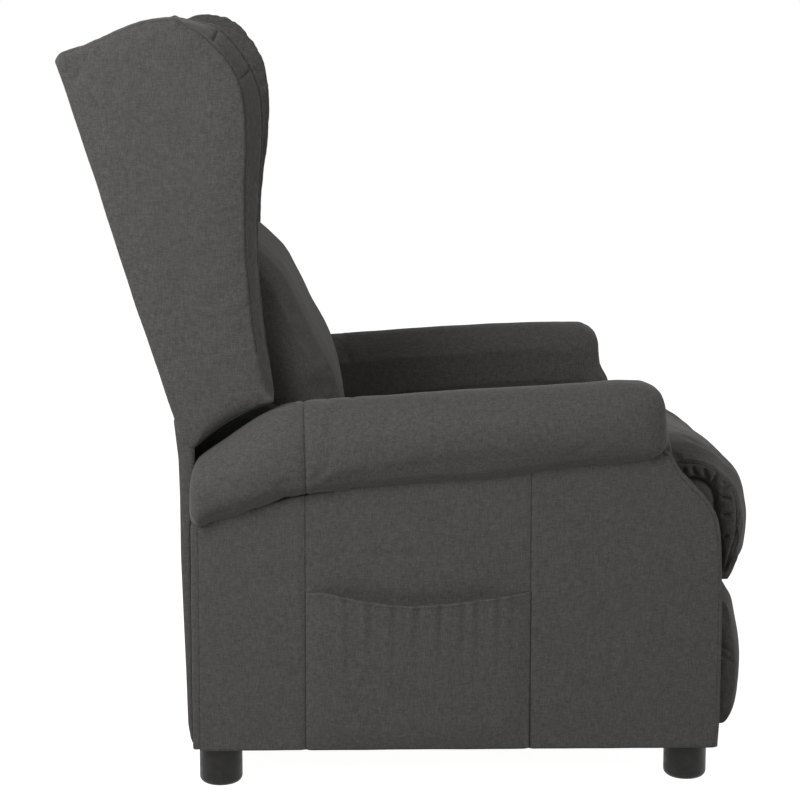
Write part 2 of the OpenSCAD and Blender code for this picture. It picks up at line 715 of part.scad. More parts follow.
module front_stay() {
  color(steel_black) {
    slab(layer2, layer2 + steel) bar(pin_e, pin_f, link_w);
    for (p = [pin_e, pin_f]) link_pin(p);
  }
}

// Footrest: board, pad and the two brackets behind
board_back = pin_c.x - 6;
board_front = board_back - board_t;
board_half = layer1 - 3;
board_low = footrest_low + 11;
board_high = footrest_low + footrest_h - 13;
flange_w = 27;
module footrest_bracket() {
  color(steel_black) difference() {
    union() {
      slab(layer1, layer1 + steel)
        polygon([[board_front + 3, pin_c.y + 24], [pin_c.x + 14, pin_c.y + 14],
          [pin_c.x + 14, pin_f.y - 14], [board_front + 3, pin_f.y - 24]]);
      translate([layer1 + slim - flange_w, board_back, pin_f.y - 20])
        cube([flange_w, 3.5, pin_c.y - pin_f.y + 40]);
    }
    link_bore(pin_c, pivot_clear);
    link_bore(pin_f, loop_clear);
    for (p = [pin_c, pin_f]) rod(p, layer1 - flange_w - 1, layer1, pin_r + 3);
  }
}

module footrest_board() {
  color(timber) translate([-board_half, board_front, board_low])
    cube([2 * board_half, board_t, board_high - board_low]);
}

pad_back = board_front - seat_gap;
pad_front = pad_back - footrest_pad_t;
pad_top = footrest_low + footrest_h;
pad_outer = [[pad_back - 7, pad_top - 2], [pad_back - 24, pad_top], [pad_front + 21, pad_top - 8],
  [pad_front + 9, pad_top - 26], [pad_front + 3, pad_top - 61], [pad_front, pad_top - footrest_h / 2],
  [pad_front + 3, footrest_low + 56], [pad_front + 11, footrest_low + 23], [pad_front + 25, footrest_low + 5],
  [pad_back - 21, footrest_low + 0.5], [pad_back - 7, footrest_low + 4]];
function pad_ring(x) =
  let (edge = max(0, (abs(x) - 140) / (cushion_half - 140)),
    outer = smooth(pad_outer, 2),
    inner = straight([pad_back, pad_top - 6], [pad_back, footrest_low + 8], len(outer)),
    drawn = [for (p = pushed(outer, -19 * edge * edge)) [min(p.x, pad_back - 4), p.y]])
  concat(drawn, backwards(inner));
pad_xs = [for (s = [-1, -0.96, -0.88, -0.76, -0.5, 0, 0.5, 0.76, 0.88, 0.96, 1]) s * cushion_half];

module footrest_pad() {
  color(fabric) loft(across([for (x = pad_xs) pad_ring(x)], pad_xs));
}

both_sides(-1) arm_frame();  // arm_frame_left
both_sides(1) arm_frame();  // arm_frame_right
both_sides(-1) arm_inner();  // arm_inner_left
both_sides(1) arm_inner();  // arm_inner_right
both_sides(-1) arm_outer();  // arm_outer_left
both_sides(1) arm_outer();  // arm_outer_right
both_sides(-1) arm_roll();  // arm_roll_left
both_sides(1) arm_roll();  // arm_roll_right
both_sides(-1) arm_front();  // arm_front_left
both_sides(1) arm_front();  // arm_front_right
side_pocket();
foot(-arm_mid, arm_face + foot_in);  // foot_front_left
foot(arm_mid, arm_face + foot_in);  // foot_front_right
foot(-arm_mid, arm_rear - foot_rear_in);  // foot_rear_left
foot(arm_mid, arm_rear - foot_rear_in);  // foot_rear_right
stretcher(pin_dd.x + 25);  // front_stretcher
stretcher(arm_rear - stretcher_t);  // rear_stretcher
both_sides(-1) seat_runner();  // seat_runner_left
both_sides(1) seat_runner();  // seat_runner_right
both_sides(-1) hinge_plate();  // hinge_plate_left
both_sides(1) hinge_plate();  // hinge_plate_right
hinge_screws();
rear_flap();
both_sides(-1) back_post();  // back_post_left
both_sides(1) back_post();  // back_post_right
back_rails();
back_webbing();
both_sides(-1) back_bracket();  // back_bracket_left
both_sides(1) back_bracket();  // back_bracket_right
outer_back();
lumbar_cushion();
head_cushion();
both_sides(-1) wing();  // wing_left
both_sides(1) wing();  // wing_right
both_sides(-1) wing_board();  // wing_board_left
both_sides(1) wing_board();  // wing_board_right
both_sides(-1) wing_liner();  // wing_liner_left
both_sides(1) wing_liner();  // wing_liner_right
seat_frame();
seat_springs();
seat_cushion();
both_sides(-1) seat_plate();  // seat_plate_left
both_sides(1) seat_plate();  // seat_plate_right
seat_glides();
both_sides(-1) rear_link();  // rear_link_left
both_sides(1) rear_link();  // rear_link_right
torque_tube();
both_sides(-1) rear_stay();  // rear_stay_left
both_sides(1) rear_stay();  // rear_stay_right
both_sides(-1) front_link();  // front_link_left
both_sides(1) front_link();  // front_link_right
both_sides(-1) front_stay();  // front_stay_left
both_sides(1) front_stay();  // front_stay_right
both_sides(-1) footrest_bracket();  // footrest_bracket_left
both_sides(1) footrest_bracket();  // footrest_bracket_right
footrest_board();
footrest_pad();
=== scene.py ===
# %% [markdown]
# # A wing-back recliner, dressed around its CAD frame
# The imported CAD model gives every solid, joint and size. This script leaves them where they
# are and makes what the eye meets: linen covers with seams and puckers, the padding under
# them, moulded feet, and finishes for wood and steel. Lengths are in millimetres, as a maker
# would give them; Blender works in metres.

# %% Load the frame
import math
from contextlib import contextmanager

import bpy
import numpy as np
from mathutils import Matrix, Vector
from mathutils.bvhtree import BVHTree


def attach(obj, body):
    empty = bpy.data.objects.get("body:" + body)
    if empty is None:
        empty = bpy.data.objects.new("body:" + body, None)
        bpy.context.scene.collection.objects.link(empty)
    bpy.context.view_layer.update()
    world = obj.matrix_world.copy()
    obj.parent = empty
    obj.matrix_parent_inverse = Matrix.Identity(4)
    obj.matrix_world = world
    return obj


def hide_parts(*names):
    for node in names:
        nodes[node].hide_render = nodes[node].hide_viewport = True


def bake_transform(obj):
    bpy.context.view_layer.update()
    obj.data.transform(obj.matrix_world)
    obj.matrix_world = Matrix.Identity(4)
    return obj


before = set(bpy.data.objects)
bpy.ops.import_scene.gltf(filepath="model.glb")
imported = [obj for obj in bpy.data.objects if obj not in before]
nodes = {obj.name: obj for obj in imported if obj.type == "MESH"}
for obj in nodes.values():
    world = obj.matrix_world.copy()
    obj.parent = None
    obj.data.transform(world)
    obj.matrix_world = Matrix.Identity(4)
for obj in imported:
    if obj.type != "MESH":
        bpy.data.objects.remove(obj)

MM = 0.001
scene = bpy.context.scene
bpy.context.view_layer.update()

# %% [markdown]
# ## The camera
# The photograph was taken from the chair's side, at about the height of its top and through
# a long lens. A camera is given by its place, three angles and the lens, so it is written
# down that way. The chair stands high in the picture, which a small vertical shift repeats.

# %% Camera
YAW, PITCH, ROLL = (math.radians(angle) for angle in (2.71, 8.04, 0.17))
ahead = Vector((math.cos(YAW) * math.cos(PITCH), -math.sin(YAW) * math.cos(PITCH), -math.sin(PITCH)))
level = ahead.cross(Vector((0, 0, 1))).normalized()
upright = level.cross(ahead)
side = level * math.cos(ROLL) + upright * math.sin(ROLL)
top = upright * math.cos(ROLL) - level * math.sin(ROLL)

EYE = (-3.018, 0.154, 0.985)
lens = bpy.data.cameras.new("camera")
lens.lens, lens.sensor_width, lens.shift_y = 95.445, 36, -0.08
camera = bpy.data.objects.new("camera", lens)
turned = Matrix((side, top, -ahead)).transposed().to_4x4()
camera.matrix_world = Matrix.Translation(EYE) @ turned
scene.collection.objects.link(camera)
scene.camera = camera
print("camera looks", tuple(round(v, 3) for v in ahead))

# %% [markdown]
# ## Writing materials as sums
# A material is a small machine of linked nodes. Linking them one by one hides what it
# computes, so `Signal` wraps a socket and adds a Math node whenever it is added, subtracted
# or multiplied. `Tree` holds the nodes of a material or of the world, and its `node` method
# makes any other node. `Finish` is a tree for one material.

# %% Materials as expressions
class Signal:
    """A socket whose value changes over the surface."""

    def __init__(self, owner, socket):
        self.owner, self.socket = owner, socket

    def math(self, operation, *values):
        return self.owner.node("ShaderNodeMath", {"operation": operation}, dict(enumerate(values)))[0]

    def __add__(self, other): return self.math("ADD", self, other)
    def __radd__(self, other): return self.math("ADD", other, self)
    def __sub__(self, other): return self.math("SUBTRACT", self, other)
    def __rsub__(self, other): return self.math("SUBTRACT", other, self)
    def __mul__(self, other): return self.math("MULTIPLY", self, other)
    def __rmul__(self, other): return self.math("MULTIPLY", other, self)
    def sine(self): return self.math("SINE", self)
    def size(self): return self.math("ABSOLUTE", self)

    def ramp(self, start, end, low=0.0, high=1.0):
        """low before start, high after end, and smooth between them."""
        sockets = {"Value": self, "From Min": start, "From Max": end, "To Min": low, "To Max": high}
        return self.owner.node("ShaderNodeMapRange", {"interpolation_type": "SMOOTHSTEP"}, sockets)[0]


class Tree:
    """The nodes of a material or of the world."""

    def __init__(self, holder):
        holder.use_nodes = True
        self.tree = holder.node_tree

    def node(self, kind, settings=None, sockets=None):
        """Adds a node, sets it up, fills or links its sockets, and returns its outputs as signals."""
        made = self.tree.nodes.new(kind)
        for key, value in (settings or {}).items():
            setattr(made, key, value)
        for key, value in (sockets or {}).items():
            if isinstance(value, Signal):
                self.tree.links.new(value.socket, made.inputs[key])
            else:
                made.inputs[key].default_value = value
        return [Signal(self, socket) for socket in made.outputs]


class Finish(Tree):
    """One material on a Principled shader."""

    def __init__(self, name, roughness, specular=0.5, metallic=0.0):
        self.material = bpy.data.materials.new(name)
        super().__init__(self.material)
        self.shader = self.tree.nodes["Principled BSDF"]
        self.shader.inputs["Roughness"].default_value = roughness
        self.shader.inputs["Specular IOR Level"].default_value = specular
        self.shader.inputs["Metallic"].default_value = metallic

    def feed(self, socket, signal):
        self.tree.links.new(signal.socket, self.shader.inputs[socket])

    def stretched(self, scale):
        """Object coordinates in metres, multiplied by a scale for each axis."""
        place = self.node("ShaderNodeTexCoord")[3]
        return self.node("ShaderNodeMapping", {}, {"Vector": place, "Scale": scale})[0]

    def noise(self, scale, detail=2.0, along=None, slow=None):
        """Noise from 0 to 1 whose grains are 1 / scale metres long, or 1 / slow along one axis."""
        scale = [slow if axis == along else scale for axis in range(3)]
        sockets = {"Vector": self.stretched(scale), "Scale": 1.0, "Detail": detail}
        return self.node("ShaderNodeTexNoise", {}, sockets)[0]

    def waves(self, pitch):
        """Sine waves of one pitch along each of the three axes."""
        place = self.stretched([2 * math.pi / pitch] * 3)
        return [axis.sine() for axis in self.node("ShaderNodeSeparateXYZ", {}, {0: place})]

    def coloured(self, dark, light, share):
        """Gives the surface a colour between two, by a signal."""
        sockets = {0: share, 6: (*dark, 1), 7: (*light, 1)}
        self.feed("Base Color", self.node("ShaderNodeMix", {"data_type": "RGBA"}, sockets)[2])

    def raise_by(self, height, distance, strength=1.0):
        """Bump from a height signal: at 1 it stands distance metres proud."""
        sockets = {"Height": height, "Distance": distance, "Strength": strength}
        self.feed("Normal", self.node("ShaderNodeBump", {}, sockets)[0])


# %% [markdown]
# ## The cover
# The chair is covered in a dark grey linen weave. From a few metres it shows thin uneven
# threads along and across, a soft mottle, and hardly any shine. Threads run along all three
# axes here, so on any face two of them lie in the surface and the third looks like grain.
# Where a piece has seams, three attributes on its points say how far the nearest seam is,
# how strongly it is there and how far along it one is: the shader draws the stitches and the
# sunk line from them, finer than the mesh itself, and darkens that line as painted shade.

# %% Linen
THREAD, SLUB, MOTTLE, FLECK = 1.7 * MM, 10 * MM, 6 * MM, 1.6 * MM
WEAVE = 1.5 * MM
STITCH = 4.2
GREY = (0.084, 0.0805, 0.077)


def linen(name, shade=1.0):
    finish = Finish(name, roughness=0.88, specular=0.22)
    finish.shader.inputs["Sheen Weight"].default_value = 0.12
    finish.shader.inputs["Sheen Roughness"].default_value = 0.45
    threads = sum(finish.noise(1 / THREAD, along=axis, slow=1 / SLUB) for axis in range(3))
    mottle = finish.noise(1 / MOTTLE, 4.0)
    flecks = finish.noise(1 / FLECK, 1.0)
    x, y, z = finish.waves(WEAVE)
    weave = x * y + y * z + z * x

    gap, near, run = (finish.node("ShaderNodeAttribute", {"attribute_name": a})[2]
                      for a in ("seam", "seam_near", "seam_run"))
    line = near * gap.size().ramp(0.3, 1.5, 1.0, 0.0)
    stitches = near * gap.size().ramp(0.2, 1.1, 1.0, 0.0)
    stitches = stitches * (run * (2 * math.pi / STITCH)).sine().ramp(0.0, 0.6)
    tone = (threads - 1.5) * 0.5 + (mottle - 0.5) * 0.42 + (flecks - 0.5) * 0.36 + 0.5
    # The seam line is darkened in the colour here: painted shade of the groove the seam sinks into.
    tone = tone - line * 0.38 + stitches * 0.1
    dark, light = ([c * shade * k for c in GREY] for k in (0.55, 1.48))
    finish.coloured(dark, light, tone.ramp(0.0, 1.0))
    finish.feed("Roughness", mottle * 0.12 + 0.82)
    finish.raise_by(weave * 0.12 + threads * 0.8 + stitches * 0.7 - line * 1.6, 0.35 * MM, 0.7)
    return finish.material


cover = linen("charcoal linen")
# A copy of the linen 6 per cent darker: painted shade for faces that turn in towards the seat.
inner_cover_painted_shade = linen("charcoal linen, inner faces", 0.94)
print("covers", cover.name, "and", inner_cover_painted_shade.name)

# %% [markdown]
# ## Lining, plastic, steel and wood
# The plainer materials have a grain of their own, too: the lining a fine rib, the feet a
# mould texture, the links an orange peel, screws and springs drawn marks, and the rails long
# wood grain. Plastic and paint are one kind of finish with two sets of numbers.

# %% Other finishes
def lining_cloth():
    finish = Finish("black lining", roughness=0.85, specular=0.2)
    x, y, z = finish.node("ShaderNodeSeparateXYZ", {}, {0: finish.stretched([2 * math.pi / (1.2 * MM)] * 3)})
    rib = x.sine() * 0.5 + (y + z).sine() * 0.5
    fuzz = finish.noise(900)
    finish.coloured([0.06] * 3, [0.14, 0.14, 0.13], rib * 0.3 + fuzz)
    finish.raise_by(rib + fuzz, 0.2 * MM, 0.6)
    return finish.material


def black(name, roughness, specular, grain, wear, dark, light, worn, shine, proud):
    """Plastic or paint with a fine grain, and paler and shinier or duller where it is worn."""
    finish = Finish(name, roughness, specular)
    wear = finish.noise(*wear)
    finish.coloured(dark, light, wear.ramp(worn, 0.8))
    finish.feed("Roughness", wear.ramp(0.3, 0.7, *shine))
    finish.raise_by(finish.noise(*grain), proud * MM, 0.5)
    return finish.material


def plated(name, light, drawn):
    """Zinc plate or spring wire, with faint marks drawn along one axis."""
    finish = Finish(name, roughness=0.32, metallic=1.0)
    marks = finish.noise(1800, 3.0, drawn, 60)
    bloom = finish.noise(90, 4.0)
    dark = [c * 0.7 for c in light]
    finish.coloured(dark, light, (marks * 0.5 + bloom * 0.5).ramp(0.3, 0.7))
    finish.feed("Roughness", bloom.ramp(0.3, 0.7, 0.24, 0.42))
    finish.raise_by(marks, 0.03 * MM, 0.5)
    return finish.material


def planed_wood(name, along):
    """Pale plywood and pine with its grain along one axis."""
    finish = Finish(name, roughness=0.6, specular=0.3)
    figure = finish.noise(70, 4.0, along, 5)
    pores = finish.noise(1500, 2.0, along, 30)
    grain = (figure * 38.0).sine() * 0.25 + 0.5 + (pores - 0.5) * 0.6
    finish.coloured([0.36, 0.21, 0.1], [0.64, 0.45, 0.26], grain.ramp(0.1, 0.9))
    finish.feed("Roughness", pores.ramp(0.3, 0.7, 0.5, 0.72))
    finish.raise_by(grain, 0.15 * MM, 0.5)
    return finish.material


lining = lining_cloth()
plastic = black("black moulded plastic", 0.5, 0.22, grain=(1400, 3.0), wear=(90, 4.0), worn=0.35,
                dark=[0.012, 0.0115, 0.011], light=[0.03, 0.0285, 0.027], shine=(0.34, 0.55), proud=0.12)
coated = black("black powder coat", 0.45, 0.5, grain=(700, 1.0), wear=(35, 6.0), worn=0.55,
               dark=[0.012, 0.012, 0.013], light=[0.05, 0.049, 0.047], shine=(0.38, 0.58), proud=0.1)
zinc = plated("zinc plate", [0.62, 0.61, 0.58], 0)
wire = plated("spring wire", [0.5, 0.5, 0.5], 1)
wood_across, wood_deep, wood_upright = (planed_wood(f"planed wood {n}", n) for n in range(3))

# %% [markdown]
# Carried-over CAD nodes keep their shapes, which are right for sawn wood and stamped steel,
# and only change their material. The grain of each board follows its longest side. The
# back's rails and the footrest's board are wrapped in lining, as they peep out at edges.

# %% Finishes on the frame's own parts
STEEL = """seat_runner hinge_plate back_bracket seat_plate torque_tube rear_link rear_stay
front_link front_stay footrest_bracket"""
kept = dict.fromkeys(STEEL.split(), coated)
kept.update(arm_frame=wood_deep, front_stretcher=wood_across, rear_stretcher=wood_across,
            back_post=wood_upright, back_rails=lining, wing_board=wood_upright,
            seat_frame=wood_across, footrest_board=lining,
            hinge_screws=zinc, seat_springs=wire, seat_glides=plastic)
found = 0
for name, node in nodes.items():
    finish = kept.get(name.removesuffix("_left").removesuffix("_right"))
    if finish:
        node.data.materials.clear()
        node.data.materials.append(finish)
        found += 1
print("kept CAD nodes", found)

# %% [markdown]
# ## Tools for soft pieces
# A padded piece starts as a copy of its CAD solid. The copy is merged, rebuilt as an even
# mesh, smoothed, blown up a little as cloth, refined once, and only then sewn: the seams
# would not survive the rebuild. All helpers below count in millimetres.

# %% Points and copies
def eased(share):
    """A share from 0 to 1 that starts and ends gently."""
    share = np.clip(share, 0, 1)
    return share * share * (3 - 2 * share)


def only(*pieces):
    bpy.ops.object.select_all(action="DESELECT")
    for piece in pieces:
        piece.select_set(True)
    bpy.context.view_layer.objects.active = pieces[0]


def mode(name):
    bpy.ops.object.mode_set(mode=name)


@contextmanager
def editing(piece):
    """Edit mode with all of a piece selected."""
    only(piece)
    mode("EDIT")
    bpy.ops.mesh.select_all(action="SELECT")
    yield
    mode("OBJECT")


def rows_of(items, what):
    """A vector from each of a mesh's points or faces, as rows."""
    flat = np.empty(len(items) * 3, np.float32)
    items.foreach_get(what, flat)
    return flat.reshape(-1, 3).astype(float)


def points(piece):
    return rows_of(piece.data.vertices, "co") / MM


def set_points(piece, co):
    piece.data.vertices.foreach_set("co", (co * MM).astype(np.float32).ravel())
    piece.data.update()


def outwards(piece):
    return rows_of(piece.data.vertices, "normal")


def copy_of(node, name):
    """A merged copy of a CAD node's outer shell."""
    piece = bpy.data.objects.new(name, nodes[node].data.copy())
    piece.data.materials.clear()
    scene.collection.objects.link(piece)
    with editing(piece):
        bpy.ops.mesh.remove_doubles(threshold=0.01 * MM)
        bpy.ops.mesh.separate(type="LOOSE")
    shells = sorted(bpy.context.selected_objects, key=lambda shell: -shell.dimensions.length)
    for shell in shells[1:]:
        bpy.data.objects.remove(shell)
    shells[0].name = name
    return shells[0]


def apply(piece, kind, **settings):
    """Adds a modifier, sets it and applies it."""
    only(piece)
    modifier = piece.modifiers.new(kind.title(), kind)
    for key, value in settings.items():
        setattr(modifier, key, value)
    bpy.ops.object.modifier_apply(modifier=modifier.name)


def evened(piece, cell, rounds):
    """Rebuilds the piece from even faces of one size and rounds its edges."""
    only(piece)
    piece.data.remesh_voxel_size = cell * MM
    bpy.ops.object.voxel_remesh()
    apply(piece, "SMOOTH", factor=0.5, iterations=rounds)


def refined(piece):
    apply(piece, "SUBSURF", levels=1, render_levels=1)


PRESSURE, FRAMES = 4.0, 20


def inflated(piece, reach, held=None, shrink=-0.01, slack=0.0):
    """Blows the cover up as cloth, from a form that is slimmer by slack. No point moves
    further than about reach."""
    rest = points(piece) - outwards(piece) * slack
    set_points(piece, rest)
    only(piece)
    cloth = piece.modifiers.new("Cloth", "CLOTH")
    how = cloth.settings
    how.quality, how.mass = 5, 0.3
    how.tension_stiffness = how.compression_stiffness = 15
    how.shear_stiffness, how.bending_stiffness = 5, 0.5
    how.use_pressure, how.uniform_pressure_force = True, PRESSURE
    how.effector_weights.gravity = 0
    how.shrink_min = shrink
    cloth.collision_settings.use_collision = False
    cloth.point_cache.frame_start, cloth.point_cache.frame_end = 1, FRAMES
    if held is not None:
        group = piece.vertex_groups.new(name="held")
        group.add(np.nonzero(held)[0].tolist(), 1.0, "REPLACE")
        how.vertex_group_mass = "held"
    for step in range(1, FRAMES + 1):
        scene.frame_set(step)
    bpy.ops.object.modifier_apply(modifier=cloth.name)
    scene.frame_set(1)
    move = points(piece) - rest
    far = np.linalg.norm(move, axis=1, keepdims=True) + 1e-9
    set_points(piece, rest + move / far * reach * np.tanh(far / reach))
    piece.vertex_groups.clear()
    print(piece.name, "moved up to", round(float(far.max()), 1), "mm before the cap")


# %% [markdown]
# A seam is a line on a surface. `curve` draws a smooth line through a few measured points,
# `beside` tells for each point of a piece how far the line is, on which side, and how far
# along it runs, and `sew` pulls the cover in there, puckers it and writes the attributes
# that the linen shader reads.

# %% Seams
def curve(keys, step=4.0):
    """A smooth line through the keys, with a point about every step."""
    keys = np.array(keys, float)
    padded = np.vstack([2 * keys[0] - keys[1], keys, 2 * keys[-1] - keys[-2]])
    line = []
    for a, b, c, d in zip(padded, padded[1:], padded[2:], padded[3:]):
        for t in np.linspace(0, 1, max(2, int(np.linalg.norm(c - b) / step) + 1))[:-1]:
            line.append(0.5 * (2 * b + (c - a) * t + (2 * a - 5 * b + 4 * c - d) * t * t
                               + (3 * b - a - 3 * c + d) * t ** 3))
    return np.array(line + [keys[-1]])


def laid_on(piece, line):
    """The line's points moved onto the piece's surface."""
    tree = BVHTree.FromObject(piece, bpy.context.evaluated_depsgraph_get())
    return np.array([tree.find_nearest(Vector(p) * MM)[0] for p in line]) / MM


FAR_OFF = 99.0


def nearest(co, line):
    """For each point the gap to the line, the run along it, the offset from it and the line's
    own step there; and then the line's length."""
    gap, run = np.full(len(co), FAR_OFF), np.zeros(len(co))
    off, step, start = np.zeros_like(co), np.zeros_like(co), 0.0
    for a, b in zip(line[:-1], line[1:]):
        length = np.linalg.norm(b - a)
        if length < 1e-6:
            continue
        t = np.clip((co - a) @ (b - a) / length ** 2, 0, 1)
        apart = co - a - t[:, None] * (b - a)
        far = np.linalg.norm(apart, axis=1)
        nearer = far < gap
        gap[nearer], run[nearer] = far[nearer], (start + t * length)[nearer]
        off[nearer], step[nearer] = apart[nearer], b - a
        start += length
    return gap, run, off, step, start


def beside(piece, line, reach=26.0, ends=7.0):
    """Signed gap to a line, run along it, and how much it counts, for each point of a piece."""
    co, out = points(piece), outwards(piece)
    gap, run, on = np.full(len(co), FAR_OFF), np.zeros(len(co)), np.zeros(len(co))
    ids = np.nonzero(((co > line.min(0) - reach) & (co < line.max(0) + reach)).all(1))[0]
    far, along, off, step, length = nearest(co[ids], line)
    turn = np.sign((np.cross(step, out[ids]) * off).sum(1))
    gap[ids], run[ids] = np.where(far < FAR_OFF, far * turn, FAR_OFF), along
    fade = np.clip(along / ends, 0, 1) * np.clip((length - along) / ends, 0, 1)
    on[ids] = fade * (far < reach)
    return gap, run, on


def sew(piece, found, depth, width=3.0, pucker=0.0, pitch=15.0, blur=9.0):
    """Pulls the cover in along a seam, puckers it beside, and marks it for the shader."""
    gap, run, on = found
    co, out = points(piece), outwards(piece)
    groove = np.exp(-(gap / width) ** 2)
    ripple = np.sin(2 * math.pi * run / pitch + 1.6 * np.sin(run / 31.0) + (gap > 0) * 1.9)
    ripple *= np.exp(-np.abs(gap) / blur) * (1 - groove)
    co += out * ((pucker * ripple - depth * groove) * on)[:, None]
    set_points(piece, co)
    near = on * np.clip(2 - np.abs(gap) / 3.0, 0, 1)
    here = on > 0
    for name, empty, fresh in (("seam", FAR_OFF, gap), ("seam_near", 0.0, near), ("seam_run", 0.0, run)):
        values = np.full(len(co), empty, np.float32)
        layer = piece.data.attributes.get(name)
        if layer:
            layer.data.foreach_get("value", values)
        else:
            layer = piece.data.attributes.new(name, "FLOAT", "POINT")
        if name == "seam":
            here &= np.abs(gap) < np.abs(values)
        layer.data.foreach_set("value", np.where(here, fresh, values).astype(np.float32))


def sewn(piece, keys, depth=1.8, **how):
    """Sews along a line given by a few points."""
    sew(piece, beside(piece, laid_on(piece, curve(keys))), depth, **how)


def drift(piece, amount):
    """The slight unevenness of hand-filled padding: broad waves, the same on every run."""
    co, out = points(piece), outwards(piece)
    x, y, z = (co / 1000).T
    waves = np.sin(41 * y + 23 * z + 9 * x) + np.sin(67 * z - 31 * y + 1.3)
    waves += 0.7 * np.sin(97 * y + 71 * z - 50 * x)
    set_points(piece, co + out * (amount * waves / 2.7)[:, None])


def mirrored(piece):
    """The same piece for the chair's other side."""
    twin = bpy.data.objects.new(piece.name.replace("left", "right"), piece.data.copy())
    scene.collection.objects.link(twin)
    set_points(twin, points(twin) * [-1, 1, 1])
    with editing(twin):
        bpy.ops.mesh.flip_normals()
    return twin


def dressed(piece, material, body, *stands_for, slot="fabric", fill=None):
    """Gives a finished piece its material, its body and the nodes that it stands for. A
    piece that crosses a joint has no single body, and one that adds to the CAD no node."""
    piece.data.materials.clear()
    piece.data.materials.append(material)
    only(piece)
    bpy.ops.object.shade_smooth()
    if body:
        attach(piece, body)
    if stands_for:
        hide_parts(*stands_for)
    print(piece.name, len(piece.data.polygons), "faces")


def dressed_twice(piece, material, body, node, fill=None):
    """Dresses a piece and its mirrored twin, which stand for a node of each hand."""
    for twin, hand in (piece, "left"), (mirrored(piece), "right"):
        dressed(twin, material, body, f"{node}_{hand}", fill=fill)


# %% [markdown]
# ## Places on the back
# The back leans 18 degrees, and its makers measure up along its rear and out from it. The
# same two numbers are used here for everything that belongs to the back.

# %% The back's own measures
PIVOT = np.array([133.5, 301.0])
BACK_FOOT = PIVOT + [173.0, 163.0]
BACK_LEN = 514.5
LEAN = math.radians(17.77)
WING_IN, WING_R, SCROLL_R = 250.0, 221.0, 209.0


def on_back(x, up, out):
    """A point from its height along the back and its depth in front of it."""
    y = BACK_FOOT[0] + up * math.sin(LEAN) - out * math.cos(LEAN)
    z = BACK_FOOT[1] + up * math.cos(LEAN) + out * math.sin(LEAN)
    return [x, y, z]


def back_measures(co):
    """Height along the back and depth in front of it, for points."""
    dy, dz = co[:, 1] - BACK_FOOT[0], co[:, 2] - BACK_FOOT[1]
    return dy * math.sin(LEAN) + dz * math.cos(LEAN), -dy * math.cos(LEAN) + dz * math.sin(LEAN)


def moved(co, rise, push):
    """Moves points up along the back and out from it."""
    co[:, 1] += rise * math.sin(LEAN) - push * math.cos(LEAN)
    co[:, 2] += rise * math.cos(LEAN) + push * math.sin(LEAN)


def from_hinge(co):
    """How far points are from the back's hinge."""
    return np.linalg.norm(co[:, 1:] - PIVOT, axis=1)


def on_arc(co, rows, radius):
    """Moves some of the points straight to a radius round the hinge."""
    co[rows, 1:] = PIVOT + (co[rows, 1:] - PIVOT) * (radius / from_hinge(co[rows]))[:, None]


def on_wing(x, *keys):
    """A line on the wing; its keys are measured down from the back's top."""
    return [on_back(x, BACK_LEN + up, out) for up, out in keys]


# %% [markdown]
# ## The wings
# A wing is a board wrapped in foam: a broad flat outer face, a band that slants across the
# front and over the top, and an inner face. The band is sewn in along both edges. It has
# three darts at the top, where the cloth turns the corner. The pad is held at those seams
# while it is blown up, so it swells between them.

# %% Wings
SEAM_KEYS = [(8, 10), (7, 36), (9, 64), (12, 91), (12, 105), (9.5, 130), (7, 143), (5, 153), (3, 161),
             (-5, 170), (-23, 185), (-41, 195), (-62, 207), (-80, 213.5), (-100, 217), (-122, 216),
             (-160, 207), (-232, 181), (-300, 158), (-366, 143), (-440, 128)]
RIM_KEYS = [(9, 10), (8, 38), (13, 85), (14, 125), (9, 155), (0, 178), (-16, 200), (-40, 217), (-84, 232),
            (-128, 233), (-189, 214), (-280, 179), (-375, 152), (-450, 138)]
DARTS = [
    [(-302, 3, 161), (-290, 8, 160), (-270, 9, 160)],
    [(-302, -41, 195), (-285, -33, 201), (-267, -26, 208)],
    [(-302, -94, 218), (-282, -89, 226), (-266, -84, 232)],
]
seam_line = curve(on_wing(-302.5, *SEAM_KEYS))
rim_line = curve(on_wing(-264.0, *RIM_KEYS))
rim_edge = curve([(0, *key) for key in RIM_KEYS])[:, 1:]

wing = copy_of("wing_left", "wing_pad_left")
evened(wing, 4.0, 5)
held = sum(np.abs(beside(wing, laid_on(wing, line))[0]) < 5 for line in (seam_line, rim_line)) > 0
inflated(wing, 4.0, held | (back_measures(points(wing))[1] < 9))
refined(wing)


def kept_clear(piece):
    """Keeps a wing's surface off the arm's scroll below and off the head cushion inside."""
    co = points(piece)
    low = (from_hinge(co) < WING_R + 0.3) & (co[:, 2] < 560)
    on_arc(co, low, WING_R + 0.3)
    up, out = back_measures(co)
    beside_pad = (out < 128) & (up > 250)
    co[:, 0] = np.minimum(co[:, 0], np.where(beside_pad, -WING_IN, -WING_IN + 2.5))
    set_points(piece, co)


kept_clear(wing)
wing_right = mirrored(wing)

# %% [markdown]
# No two wings are filled alike. The one further away stands a little fuller along its inner
# edge than the near one, so each has its own filling, given as extra height along the rim.

# %% Filling and seams of the wings
NEAR_FILL = [(-460, -2), (-320, -2), (-243, -1), (-137, 0.5), (-92, 3), (-60, 4), (-30, 4), (-14, 2),
             (-5, 0)]
FAR_FILL = [(-460, -14), (-330, -13), (-288, -9), (-258, -5.5), (-200, -1), (-137, 0.5), (-115, 3),
            (-92, 9.5), (-60, 15.5), (-30, 16), (-12, 16), (-2, 13), (5, 9), (10, 6), (14, 0)]


